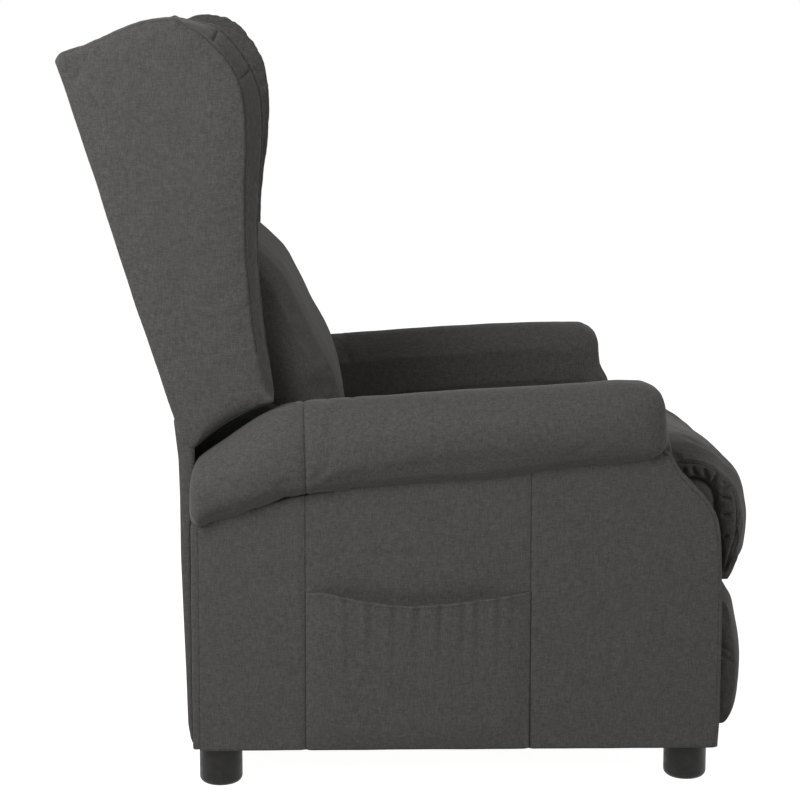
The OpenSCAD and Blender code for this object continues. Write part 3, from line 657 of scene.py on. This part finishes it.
def filled(piece, keys, settle):
    """Raises the wing's inner edge by the amounts in the keys, lets its top settle, and
    squares its rear edge."""
    co = points(piece)
    up, out = back_measures(co)
    up -= BACK_LEN
    edge = np.full(len(co), FAR_OFF)
    for key in rim_edge:
        edge = np.minimum(edge, np.hypot(up - key[0], out - key[1]))
    inset = np.abs(co[:, 0])
    amount = np.interp(up, *zip(*keys)) * eased((out - 135) / 28)
    amount *= np.where(amount > 0, eased((264 - inset) / 11), eased((300 - inset) / 24))
    crown = 3.4 * eased((301 - inset) / 36) * eased((-4 - up) / 20)
    peak = 2.2 * np.exp(-((out - 160) / 4) ** 2) * eased((inset - 262) / 8) * (up > -6)
    lift = (amount + crown) * np.exp(-(edge / 15) ** 2) + peak
    toward = np.stack([up + 150, out - 95], axis=1)
    rise, push = (toward / np.linalg.norm(toward, axis=1, keepdims=True) * lift[:, None]).T
    rise -= settle * eased((up + 40) / 30)
    push -= 2.7 * eased((9 - out) / 9) * eased((-140 - up) / 150)
    moved(co, rise, push)
    co[:, 0] -= np.sign(co[:, 0]) * 0.45 * np.maximum(amount, 0) * np.exp(-(edge / 20) ** 2)
    set_points(piece, co)


both = (wing, 1, NEAR_FILL, 1.4, 0.35, "wing_left"), (wing_right, -1, FAR_FILL, 0, 0.12, "wing_right")
for piece, side_x, keys, settle, pucker, node in both:
    filled(piece, keys, settle)
    drift(piece, 0.5)
    for line, depth in ((seam_line, 1.5), (rim_line, 1.8)):
        sew(piece, beside(piece, laid_on(piece, line * [side_x, 1, 1])), depth, width=2.4, pucker=pucker)
    for dart in DARTS:
        keys = [on_back(side_x * x, BACK_LEN + up, out) for x, up, out in dart]
        sewn(piece, keys, 2.2, width=2.2, pucker=0.3, pitch=11)
    dressed(piece, cover, "back", node, fill=0.8)

# %% [markdown]
# ## The arm rolls
# The roll is a long pillow on the arm. A seam runs round it near the rear, where the scroll
# begins, and its front end is closed smoothly. Its lower side lies on the arm, and the side
# towards the seat leaves room for the cushion.

# %% Arm rolls
ARM_IN, ARM_OUT = 238.0, 325.0
ARM_FRONT, ARM_REAR, ARM_LOW = -401.5, 288.0, 52.0
ROLL_SEAM = 149.0
ROLL_DEPTHS = [(-324.5, -16), (-289.5, -11), (-150, -1.3), (0, 0), (103.5, 2.7), (155.5, 8.3), (181.5, 11.7),
               (207.5, 10.9), (233.5, 6.1), (259.5, -3.4), (288, -21.8)]


def roll_low(y):
    """Height of the roll's underside, which is the top of the arm, at a depth y."""
    scroll = PIVOT[0] + 22
    high = lambda v: PIVOT[1] + np.sqrt(SCROLL_R ** 2 - (v - PIVOT[0]) ** 2)
    rise = (scroll - np.minimum(y, scroll)) / (scroll + 324.5 + 306)
    roof = np.where(y > scroll, high(np.clip(y, scroll, ARM_REAR)), high(scroll) + 36 * (1 - (1 - rise) ** 2))
    deep = 109 + np.interp(y, *zip(*ROLL_DEPTHS))
    return roof - deep


roll = copy_of("arm_roll_left", "arm_roll_pad_left")
evened(roll, 4.0, 5)
co = points(roll)
inflated(roll, 4.0, np.abs(co[:, 1] - ROLL_SEAM) < 4)
refined(roll)
drift(roll, 0.5)
roll_right = mirrored(roll)


def around_roll(piece):
    """The seam that runs round the roll in one plane."""
    co = points(piece)
    turn = np.arctan2(co[:, 2] - 450, np.abs(co[:, 0]) - 290)
    return co[:, 1] - ROLL_SEAM - 2 * np.sin(turn), turn * 55, np.ones(len(co))


LOWER_SIDE = [(-290, 0), (-182, 1), (-150, 4), (-117, 7), (-84, 8), (-52, 6), (-19, 2.5), (13, 2), (45, 0),
              (77, -2), (110, -2.5), (142, -4), (175, -8), (207, -4), (239, -1), (271, -4), (285, -2)]


def fitted(piece, short, lift):
    """Gives the roll its slight sags, squares the foot of its front end, and keeps it off
    what moves past it."""
    co = points(piece)
    inset = np.abs(co[:, 0])
    co[:, 1] += short * eased((-262 - co[:, 1]) / 60) * eased((co[:, 2] - 452) / 30)
    chin = eased((502 - co[:, 2]) / 40) * eased((-284 - co[:, 1]) / 30)
    co[:, 1] -= 3.5 * chin
    co[:, 2] -= 6.5 * chin
    co[:, 2] += np.interp(co[:, 1], *zip(*lift)) * eased((co[:, 2] - 440) / 50)
    hang = eased((450 - co[:, 2]) / 40) * (inset > 318)
    co[:, 2] -= np.interp(co[:, 1], *zip(*LOWER_SIDE)) * hang
    high = (from_hinge(co) > SCROLL_R + 1) & (co[:, 1] > 160)
    on_arc(co, high, SCROLL_R + 1)
    co[:, 2] = np.where(inset < ARM_OUT, np.maximum(co[:, 2], roll_low(co[:, 1])), co[:, 2])
    co[:, 0] = np.sign(co[:, 0]) * np.maximum(inset, 236.6)
    set_points(piece, co)


NEAR_LIFT = [(-330, 1.2), (-262, 1.2), (-215, -1), (40, 0.5), (110, 2.5), (150, 4.5), (175, 5.5), (213, 6),
             (245, 4), (278, 0)]
FAR_LIFT = [(-330, 1), (-260, 0), (-150, 3), (0, 3.5), (110, 5), (150, 5), (213, 5), (278, 0)]
both = (roll, 6.5, NEAR_LIFT, "arm_roll_left"), (roll_right, 12.5, FAR_LIFT, "arm_roll_right")
for piece, short, lift, node in both:
    sew(piece, around_roll(piece), 1.5, width=2.6, pucker=0.5, pitch=13, blur=14)
    fitted(piece, short, lift)
    dressed(piece, cover, "base", node, fill=0.9)

# %% [markdown]
# ## The arms' flat covers
# Outside and inside, the arm is cloth drawn over thin foam on the frame. The outer cover is
# pieced from three panels: its two upright seams show in the photograph. The front has a
# padded strip with a crown, and more filling where its neck goes under the roll.

# %% Arm panels and fronts
def trimmed(piece):
    """Cuts the cover's lower hem a little lower at the front than at the rear, draws the
    front edge back below the shoulder, and its foot a little more."""
    co = points(piece)
    back = 4.6 * eased((376 - co[:, 2]) / 40) + 2.0 * eased((94 - co[:, 2]) / 48)
    co[:, 1] += back * eased((-372 - co[:, 1]) / 24)
    co[:, 2] += np.interp(co[:, 1], [-400, ARM_REAR], [-1.8, 2.6]) * eased((110 - co[:, 2]) / 55)
    set_points(piece, co)


def panel(node, name, cell, crown, face, outward):
    """A stretched cover: evened, with a slight crown on the face that shows."""
    piece = copy_of(node, name)
    evened(piece, cell, 2)
    co = points(piece) + outwards(piece) * 0.9
    share_y = np.clip((co[:, 1] - ARM_FRONT) / (ARM_REAR - ARM_FRONT), 0, 1)
    share_z = np.clip((co[:, 2] - ARM_LOW) / (roll_low(co[:, 1]) - ARM_LOW), 0, 1)
    swell = crown * np.sqrt(np.clip(np.sin(math.pi * share_y) * np.sin(math.pi * share_z), 0, 1))
    shows = np.abs(co[:, 0] - face) < 2.8
    co[:, 0] += np.where(shows, outward * swell, 0)
    set_points(piece, co)
    trimmed(piece)
    return piece


def upright_seam(piece, y):
    co = points(piece)
    return co[:, 1] - y, co[:, 2], (co[:, 0] < -ARM_OUT + 4).astype(float)


outer = panel("arm_outer_left", "arm_panel_left", 3.5, 1.6, -ARM_OUT, -1)
drift(outer, 0.25)
co = points(outer)
co[:, 2] += 4.5 * eased((co[:, 2] - roll_low(co[:, 1]) + 16) / 12) * (co[:, 1] > -318)
set_points(outer, co)
for y in (ROLL_SEAM, -145.5):
    sew(outer, upright_seam(outer, y), 1.1, width=3.2, pucker=0.25, pitch=17)
dressed_twice(outer, cover, "base", "arm_outer")

inner = panel("arm_inner_left", "arm_lining_left", 5.0, 1.5, -ARM_IN, 1)
# The arm's inner face takes the darker linen copy, as painted shade.
dressed_twice(inner, inner_cover_painted_shade, "base", "arm_inner")


def block(name, low, high):
    """A plain block between two corners, as filling that a rebuild rounds off."""
    bpy.ops.mesh.primitive_cube_add(size=1)
    piece = bpy.context.active_object
    piece.name = name
    low, high = np.array(low, float), np.array(high, float)
    set_points(piece, low + (points(piece) * MM + 0.5) * (high - low))
    return piece


def pad(node, name, cell, rounds, reach, slack, filling=(), shrink=-0.01):
    """A padded piece made from a CAD solid, with blocks of more filling joined to it."""
    piece = copy_of(node, name)
    if filling:
        only(piece, *filling)
        bpy.ops.object.join()
    evened(piece, cell, rounds)
    inflated(piece, reach, shrink=shrink, slack=slack)
    refined(piece)
    return piece


neck = block("neck", (-318, -329.5, 430), (-250, -312, 457))
front = pad("arm_front_left", "arm_front_pad_left", 3.5, 3, 3.0, 3.0, [neck], shrink=0.0)
trimmed(front)
dressed_twice(front, cover, "base", "arm_front", fill=0.7)

# %% [markdown]
# A thin welt covers the join between the arm's flat cover and its padded front. It is a
# round cord of cloth: a grid is bent into a tube along the arm's contour, its long edges are
# merged and its ends filled.

# %% Welts
WELT_KEYS = [(-318, 452), (-325.5, 446), (-332, 434), (-343, 418), (-356, 404), (-370, 390.5), (-386, 367),
             (-395, 346), (-398, 326), (-401, 252), (ARM_FRONT, 150), (ARM_FRONT, 53)]
WELT_OUT, WELT_IN, WELT_R = 322.8, 243.5, 3.0


def sheet_grid(name, across, high, shape, thick=None):
    """A grid sheet: shape(u, v) gives a point for shares across and up."""
    bpy.ops.mesh.primitive_grid_add(x_subdivisions=across, y_subdivisions=high, size=1)
    piece = bpy.context.active_object
    piece.name = name
    co = points(piece) * MM
    u, v = co[:, 0] + 0.5, co[:, 1] + 0.5
    set_points(piece, np.stack(shape(u, v), axis=1))
    if thick:
        apply(piece, "SOLIDIFY", thickness=thick * MM, offset=0)
    return piece


def welt(name, x):
    line = curve([(x, y, z) for y, z in WELT_KEYS], 6.0)
    ahead = np.gradient(line, axis=0)
    ahead /= np.linalg.norm(ahead, axis=1, keepdims=True)
    away = np.cross(ahead, [1.0, 0, 0])

    def shape(u, v):
        at = np.rint(v * (len(line) - 1)).astype(int)
        turn = 2 * math.pi * u
        spoke = np.cos(turn)[:, None] * away[at] + np.sin(turn)[:, None] * np.array([1.0, 0, 0])
        return (line[at] + WELT_R * spoke).T

    piece = sheet_grid(name, 12, len(line) - 1, shape)
    with editing(piece):
        bpy.ops.mesh.remove_doubles(threshold=0.05 * MM)
        bpy.ops.mesh.select_all(action="DESELECT")
        bpy.ops.mesh.select_mode(type="EDGE")
        bpy.ops.mesh.select_non_manifold(extend=False)
        bpy.ops.mesh.fill()
        bpy.ops.mesh.select_all(action="SELECT")
        bpy.ops.mesh.normals_make_consistent(inside=False)
    trimmed(piece)
    dressed(piece, cover, "base")
    bpy.ops.object.shade_smooth_by_angle(angle=math.radians(50))


for hand, side_x in (("left", -1), ("right", 1)):
    welt(f"outer_welt_{hand}", side_x * WELT_OUT)
    welt(f"inner_welt_{hand}", side_x * WELT_IN)

# %% [markdown]
# The cover turns round the arm's rear corner over a strip of wadding. It is a plain block
# first, which the same rebuilding and smoothing turns into a soft edge.

# %% Arm rear edges
edge = block("arm_rear_pad_left", (-326.5, 286, 53), (-240, 297.5, 358))
evened(edge, 3.0, 8)
drift(edge, 0.3)
trimmed(edge)
edge_right = mirrored(edge)
for piece in (edge, edge_right):
    dressed(piece, cover, "base", fill=0.6)

# %% [markdown]
# ## The side pocket
# A flat piece of cover sewn to the near arm on three sides. Its upper edge has a hem, hangs
# in a shallow curve and stands off the arm a little, and soft upright folds start there. The
# arm's own cover sinks in behind the mouth. Each cloth sheet in this script is a grid shaped
# by formula, which then gets its thickness.

# %% Side pocket
POCKET_FROM, POCKET_TO, POCKET_LOW = -145.5, 148.0, 54.0
CLOTH_T = 1.6
MOUTH = [(148, 267.5), (142, 267), (126, 268.5), (98, 262), (62, 255), (19.5, 250.6), (-9, 250.8),
         (-45, 253.5), (-81, 257.5), (-116, 262), (-145.5, 266.3)]
mouth = curve([(0, y, z) for y, z in MOUTH])[::-1]


def pocket_shape(u, v):
    across = POCKET_TO - POCKET_FROM
    y = POCKET_FROM + across * u
    top = np.interp(y, mouth[:, 1], mouth[:, 2])
    from_side = np.minimum(u, 1 - u) * across
    ease = np.minimum(1, from_side / 40) * np.minimum(1, v * 215 / 40)
    waves = np.sin(2 * math.pi * 11.3 * u + 2 * np.sin(5 * u)) + 0.6 * np.sin(2 * math.pi * 19 * u + 1)
    folds = 1.1 * waves * v ** 2.5 * np.minimum(1, from_side / 45)
    hem = 0.9 * np.exp(-(((1 - v) * 210 - 2.2) / 1.8) ** 2) * np.minimum(1, from_side / 6)
    stands = 6.0 + 3.0 * v ** 3 * np.sin(math.pi * u)
    return -ARM_OUT - 2.0 - stands * ease * (2 - ease) - folds - hem, y, POCKET_LOW + v * (top - POCKET_LOW)


co = points(outer)
gap = co[:, 2] - np.interp(co[:, 1], mouth[:, 1], mouth[:, 2])
across = eased((co[:, 1] - POCKET_FROM - 8) / 55) * eased((POCKET_TO - 8 - co[:, 1]) / 55)
co[:, 0] += 4.2 * np.exp(-(gap / 17) ** 2) * across * (co[:, 0] < -ARM_OUT + 3)
set_points(outer, co)
pocket = sheet_grid("side_pocket_cloth", 150, 160, pocket_shape)
trimmed(pocket)
apply(pocket, "SOLIDIFY", thickness=CLOTH_T * MM, offset=0)
dressed(pocket, cover, "base", "side_pocket")

# %% [markdown]
# ## The rear flap
# Behind the chair one cloth closes the gap between the moving back and the base. It is
# sewn under the back, hangs in six shallow folds and is tacked to the base below. It crosses
# the back's hinge, so it is joined to no single body.

# %% Rear flap
FLAP_DEPTHS = [(53, 8.5), (62, 12.5), (82, 15.8), (150, 17.4), (230, 20), (310, 22.5), (390, 23), (440, 24.5),
               (490, 30.2)]
FLAP_HALF, RETURN, FOLDS = 297.0, 14.0, 6


def flap_shape(u, v):
    """Shallow folds between two sides that turn forwards to the arms' rear."""
    z = 53 + 437 * v
    depth = np.interp(z, *zip(*FLAP_DEPTHS))
    fold = 1.1 * (1 - np.cos(2 * math.pi * FOLDS * u)) * np.sin(math.pi * np.clip((z - 52) / 450, 0, 1))
    run = (2 * u - 1) * (FLAP_HALF + RETURN)
    turned = np.clip((np.abs(run) - FLAP_HALF) / RETURN, 0, 1) * math.pi / 2
    x = np.sign(run) * (np.minimum(np.abs(run), FLAP_HALF) + 3 * np.sin(turned))
    reach = np.maximum(ARM_REAR + depth - np.interp(z, [350, 380, 440], [298.6, 293, 292]), 1)
    return x, ARM_REAR + depth + fold - reach * (1 - np.cos(turned)), z


flap = sheet_grid("rear_flap_cloth", 220, 80, flap_shape, CLOTH_T)
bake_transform(flap)
dressed(flap, cover, None, "rear_flap")

# %% [markdown]
# ## The seat
# The cushion fills the width between the arms and falls over the frame in front, wider than
# anything else the sitter touches. Blocks of filling draw its front down to a lip. At its
# sides the top panel is sewn to a gathered gusset.

# %% Seat cushion
SEAT_HALF = 236.4
lips = []
for low in np.arange(251.0, 300.0, 4.0):
    ahead = np.interp(low, [251, 262, 273, 284, 300], [-425.5, -432, -436.8, -439.4, -440.5])
    lips.append(block("lip", (-226, ahead, low), (226, ahead + 17, 322.8)))
    for side_x in (-1, 1):
        ends = sorted((side_x * 235.0, side_x * 223.0))
        lips.append(block("lip", (ends[0], ahead + 0.5, low), (ends[1], -372 - 0.25 * (300 - low), 323.5)))


def narrowed(piece, half):
    """Keeps a piece's sides within half a width."""
    co = points(piece)
    co[:, 0] = np.clip(co[:, 0], -half, half)
    set_points(piece, co)


seat = pad("seat_cushion", "seat_pad", 4.5, 3, 5.0, 3.6, lips)
narrowed(seat, SEAT_HALF)
drift(seat, 0.8)
BUMPS = [((-435, 402), (-3.2, 4.0), 33, 110, -30), ((-408, 432), (1.0, -6.5), 20, 20, 110),
         ((-425, 408), (0.9, -2.6), 14, 20, 110), ((-430, 411), (1.8, -4.2), 16, 20, -130),
         ((-447, 374), (-1.5, 1.6), 14, 110, -30)]


def bumped(piece, centre, push, reach, start, end):
    """Moves the surface round a line across the chair by push, fading over reach and, across
    the chair, from nothing at start to all of it at end."""
    co = points(piece)
    share = np.exp(-(np.linalg.norm(co[:, 1:] - centre, axis=1) / reach) ** 2)
    share *= eased((co[:, 0] - start) / (end - start))
    set_points(piece, co + share[:, None] * np.array([0, *push], float))


for bump in BUMPS:
    bumped(seat, *bump)
co = points(seat)
from_core = co[:, 1:] - [-375, 345]
far = np.linalg.norm(from_core, axis=1)
corner = 3.5 * eased((np.abs(co[:, 0]) - 208) / 22) * eased((far - 25) / 25) * (co[:, 1] < -340)
co[:, 1:] += from_core / far[:, None] * corner[:, None]
set_points(seat, co)
INNER_SEAM = [(-250, 424), (-300, 423), (-347, 419), (-372, 418.5), (-397, 416), (-408, 414), (-417, 409),
              (-425, 401), (-430, 394), (-433, 384), (-435, 366), (-437, 342), (-437, 328), (-432, 305),
              (-424, 283), (-417, 266)]
OUTER_SEAM = [(-250, 430), (-300, 428), (-350, 422), (-381, 420), (-397, 419), (-409, 417), (-419, 411),
              (-428, 403), (-434, 394), (-438, 380), (-440, 352), (-440.5, 330), (-436, 303), (-428, 281),
              (-422, 270)]
GROOVE = [(-300, 394), (-340, 394), (-365, 394), (-379, 394), (-391, 390), (-400, 383), (-405, 373),
          (-407, 362), (-408, 339), (-411, 328), (-415, 304), (-416, 280), (-416, 262)]
PLEATS = [[(-350, 412), (-353, 400)], [(-361, 412), (-364, 399)], [(-372, 413), (-380, 397)],
          [(-388, 411), (-396, 390)], [(-409, 407), (-400, 385)], [(-423, 393), (-412, 386)],
          [(-429, 385), (-411, 377)], [(-429, 366), (-411, 369)], [(-429, 345), (-413, 344)],
          [(-427, 316), (-416, 310)]]


def picked(piece, chosen):
    """Selects some of a piece's faces in edit mode."""
    only(piece)
    mode("EDIT")
    bpy.ops.mesh.select_mode(type="FACE")
    bpy.ops.mesh.select_all(action="DESELECT")
    mode("OBJECT")
    piece.data.polygons.foreach_set("select", chosen)
    mode("EDIT")


def finer(piece, test):
    """Splits the faces that the test holds for once more, where fine folds come."""
    picked(piece, test(rows_of(piece.data.polygons, "center") / MM))
    bpy.ops.mesh.subdivide(number_cuts=1)
    mode("OBJECT")


def pressed(piece, keys, depth, width, ends):
    """Presses a crease straight into both side faces, along a line of depths and heights."""
    line = curve([(0, *key) for key in keys], 2.0)[:, 1:]
    co = points(piece)
    far, run, off, step, length = nearest(co[:, 1:], line)
    fade = eased(run / ends) * eased((length - run) / ends)
    fade *= eased((np.abs(co[:, 0]) - 188) / 40)
    co[:, 0] -= np.sign(co[:, 0]) * depth * np.exp(-(far / width) ** 2) * fade
    set_points(piece, co)


finer(seat, lambda c: (np.abs(c[:, 0]) > 206) & (c[:, 1] < -330))
pressed(seat, GROOVE, 5.0, 9.0, 14)
pressed(seat, GROOVE, 12.0, 3.0, 14)
for pleat in PLEATS:
    pressed(seat, pleat, 5.5, 2.7, 6)
for side_x in (-1, 1):
    sewn(seat, [(side_x * 235, y, z) for y, z in INNER_SEAM], 1.8, width=2.2, pucker=0.4)
    sewn(seat, [(side_x * 230, y, z) for y, z in OUTER_SEAM], 0.9, width=2.0)
dressed(seat, cover, "seat", "seat_cushion", fill=0.8)

# %% [markdown]
# ## The back cushions
# The lumbar cushion swells forwards between the arms; above it, between the wings, lies a
# plainer head cushion that is folded over the top of the frame.

# %% Back cushions
lumbar = pad("lumbar_cushion", "lumbar_pad", 6.0, 5, 5.0, 5.0)
drift(lumbar, 0.8)
co = points(lumbar)
up, out = back_measures(co)
sunk = (8.0 * eased((up - 10) / 80) - 2.0 * eased((up - 110) / 60)) * eased((out - 65) / 15)
moved(co, 0, -sunk)
set_points(lumbar, co)
dressed(lumbar, cover, "back", "lumbar_cushion", fill=0.85)

head = pad("head_cushion", "head_pad", 6.0, 4, 5.0, 3.0)
narrowed(head, WING_IN - 0.2)
drift(head, 0.8)
# The head cushion takes the darker linen copy, as painted shade between the wings.
dressed(head, inner_cover_painted_shade, "back", "head_cushion", fill=0.7)

# %% [markdown]
# ## The footrest
# The pad on the footrest board is a smaller cousin of the seat: full in the middle, drawn
# in at its edges. Its upper end settles back under the seat's lip.

# %% Footrest pad
BOARD_FACE = -396.8
rest_pad = pad("footrest_pad", "footrest_cushion", 4.5, 4, 4.0, 4.0)
narrowed(rest_pad, SEAT_HALF)
co = points(rest_pad)
back = 5.6 * eased((co[:, 2] - 120) / 92) + 2.6 * eased((co[:, 2] - 212) / 26)
co[:, 1] = np.minimum(co[:, 1] + back * (co[:, 1] < -410), BOARD_FACE)
set_points(rest_pad, co)
drift(rest_pad, 0.5)
pressed(rest_pad, [(-412, 163), (-420, 160.5), (-438, 149)], 2.6, 2.0, 6)
pressed(rest_pad, [(-414, 150), (-422, 147), (-439, 136)], 2.2, 2.0, 6)
dressed(rest_pad, cover, "footrest", "footrest_pad", fill=0.75)

# %% [markdown]
# ## Outer back, wing linings and webbing
# The rear of the back is one stretched cover. A black lining shows in the gap between a
# wing and its arm. Elastic bands carry the cushions; each is woven flat, with ribs.

# %% Outer back
rear = copy_of("outer_back", "outer_back_cover")
evened(rear, 4.5, 2)
co = points(rear)
up, out = back_measures(co)
swell = np.sin(math.pi * np.clip((up + 8) / (BACK_LEN + 8), 0, 1))
swell *= np.cos(math.pi / 2 * np.clip(co[:, 0] / (WING_IN - 0.3), -1, 1))
rear_face = np.where(out < 3, 3.0 * np.sqrt(np.clip(swell, 0, 1)), 0)
moved(co, 0, -rear_face)
set_points(rear, co)
dressed(rear, cover, "back", "outer_back")

# %% Wing linings
LINER_FROM, LINER_TO, LINER_T = math.radians(44.3), math.radians(75.0), 1.4


def liner_shape(u, v):
    angle = LINER_FROM + (LINER_TO - LINER_FROM) * u
    radius = WING_R - 0.9 - 0.5 * np.sin(math.pi * v)
    return -(253 + 43 * v), PIVOT[0] + radius * np.cos(angle), PIVOT[1] + radius * np.sin(angle)


liner = sheet_grid("wing_lining_left", 40, 16, liner_shape, LINER_T)
liner_right = mirrored(liner)
for piece, node in ((liner, "wing_liner_left"), (liner_right, "wing_liner_right")):
    with editing(piece):
        bpy.ops.mesh.normals_make_consistent(inside=False)
    dressed(piece, lining, "back", node, slot="lining")

# %% [markdown]
# A second piece of lining closes the slit between the back and each arm. It is sewn to the
# back and is a part of a ring around the hinge, so it slides past the arm as the back turns.

# %% Side linings
SLIT_T = 1.2


def slit_shape(u, v):
    angle = 38 + 38.5 * u
    radius = 150 + (np.interp(angle, [38, 69, 76.5], [223, 222, 199]) - 150) * v
    angle = np.radians(angle)
    bow = 0.8 * np.sin(math.pi * u) * np.sin(math.pi * v) + 1.2 * np.sin(34 * angle + radius / 5) * u ** 3
    return -232.6 - bow, PIVOT[0] + radius * np.cos(angle), PIVOT[1] + radius * np.sin(angle)


slit = sheet_grid("side_lining_left", 44, 24, slit_shape, SLIT_T)
slit_right = mirrored(slit)
for piece in (slit, slit_right):
    dressed(piece, lining, "back", slot="lining")

# %% Webbing
BANDS, BAND_WIDE = 6, 42


def band(name, up):
    """One elastic band across the back, with woven ribs."""
    def shape(u, v):
        rib = 0.3 * np.sin(2 * math.pi * 3 * v) ** 2 * (np.abs(u - 0.5) < 0.46)
        y, z = np.array([on_back(0, up + BAND_WIDE * s, 65.9 + r) for s, r in zip(v, rib)])[:, 1:].T
        return -225.7 + 451.4 * u, y, z

    return sheet_grid(name, 60, 12, shape, CLOTH_T)


bands = [band(f"band_{i}", -90 + i * (BACK_LEN - 50 + 90) / BANDS) for i in range(BANDS)]
only(*bands)
bpy.ops.object.join()
bands[0].name = "back_bands"
dressed(bands[0], lining, "back", "back_webbing", slot="lining")

# %% [markdown]
# ## The feet
# Four black moulded feet screw into the arms. Each is a plain cylinder with a rounded lower
# edge, a recess underneath and a stud on top.

# %% Feet
FOOT_R, FOOT_H = 28.5, 52.0


def foot(name, x, y):
    bpy.ops.mesh.primitive_cylinder_add(vertices=72, radius=FOOT_R * MM, depth=FOOT_H * MM,
                                        location=(x * MM, y * MM, FOOT_H / 2 * MM))
    piece = bpy.context.active_object
    piece.name = name
    bpy.ops.object.transform_apply(location=True, rotation=True, scale=True)

    def pick(test):
        mode("OBJECT")
        picked(piece, [test(face) for face in piece.data.polygons])

    pick(lambda face: face.normal.z < -0.9)
    bpy.ops.mesh.bevel(offset=8 * MM, segments=7)
    pick(lambda face: face.normal.z < -0.9 and len(face.vertices) > 20)
    bpy.ops.mesh.inset(thickness=4 * MM)
    bpy.ops.mesh.extrude_region_move(TRANSFORM_OT_translate={"value": (0, 0, 2.5 * MM)})
    pick(lambda face: face.normal.z > 0.9 and len(face.vertices) > 20)
    bpy.ops.mesh.inset(thickness=23.5 * MM)
    bpy.ops.mesh.extrude_region_move(TRANSFORM_OT_translate={"value": (0, 0, 24 * MM)})
    mode("OBJECT")
    dressed(piece, plastic, "base", name.replace("moulded_", ""), slot="plastic")
    bpy.ops.object.shade_smooth_by_angle(angle=math.radians(35))


for where, y in (("front", -361.5), ("rear", 262.0)):
    for hand, x in (("left", -284.0), ("right", 284.0)):
        foot(f"moulded_foot_{where}_{hand}", x, y)

# %% [markdown]
# ## Floor, light and background
# The photograph has a white ground without a horizon. The floor and the world are white to
# the camera and to reflections only, and an ordinary pale grey to the light that falls on
# the chair, so the object keeps its own colours.

# %% Stage
bpy.ops.mesh.primitive_plane_add(size=14)
floor = bpy.context.active_object
floor.name = "floor"


def seen_as(tree, plain, white, end):
    """Shows white to the camera and in mirrors or glass, and plain to all other light."""
    rays = {ray.socket.name: ray for ray in tree.node("ShaderNodeLightPath")}
    seen = rays["Is Camera Ray"]
    for name in ("Is Glossy Ray", "Is Transmission Ray"):
        seen = seen.math("MAXIMUM", seen, rays[name])
    choice = tree.node("ShaderNodeMixShader", {}, {0: seen, 1: plain, 2: white})[0]
    tree.tree.links.new(choice.socket, tree.tree.nodes[end].inputs[0])


WHITE, PALE, GLOW, FILL = (1, 1, 1, 1), (0.5, 0.5, 0.5, 1), 0.97, 0.24
paper = Finish("white paper", roughness=1, specular=0)
paper.shader.inputs["Base Color"].default_value = PALE
plain = Signal(paper, paper.shader.outputs[0])
glow = paper.node("ShaderNodeEmission", {}, {"Strength": GLOW})[0]
bright = paper.node("ShaderNodeAddShader", {}, {0: plain, 1: glow})[0]
seen_as(paper, plain, bright, "Material Output")
floor.data.materials.append(paper.material)

scene.world = bpy.data.worlds.new("studio")
studio = Tree(scene.world)
fill = studio.tree.nodes["Background"]
fill.inputs["Color"].default_value = WHITE
fill.inputs["Strength"].default_value = FILL
white = studio.node("ShaderNodeBackground", {}, {"Color": WHITE})[0]
seen_as(studio, Signal(studio, fill.outputs[0]), white, "World Output")


def softbox(name, place, target, size, watts):
    lamp = bpy.data.lights.new(name, "AREA")
    lamp.shape, lamp.size, lamp.energy = "SQUARE", size, watts
    holder = bpy.data.objects.new(name, lamp)
    scene.collection.objects.link(holder)
    holder.location = place
    holder.rotation_euler = (Vector(target) - Vector(place)).to_track_quat("-Z", "Y").to_euler()


softbox("key", (-1.6, 1.3, 1.6), (-0.25, 0.0, 0.55), 1.2, 36)
softbox("front fill", (-0.9, -1.9, 1.0), (-0.25, 0.0, 0.55), 1.2, 7)
scene.view_settings.view_transform = "Standard"
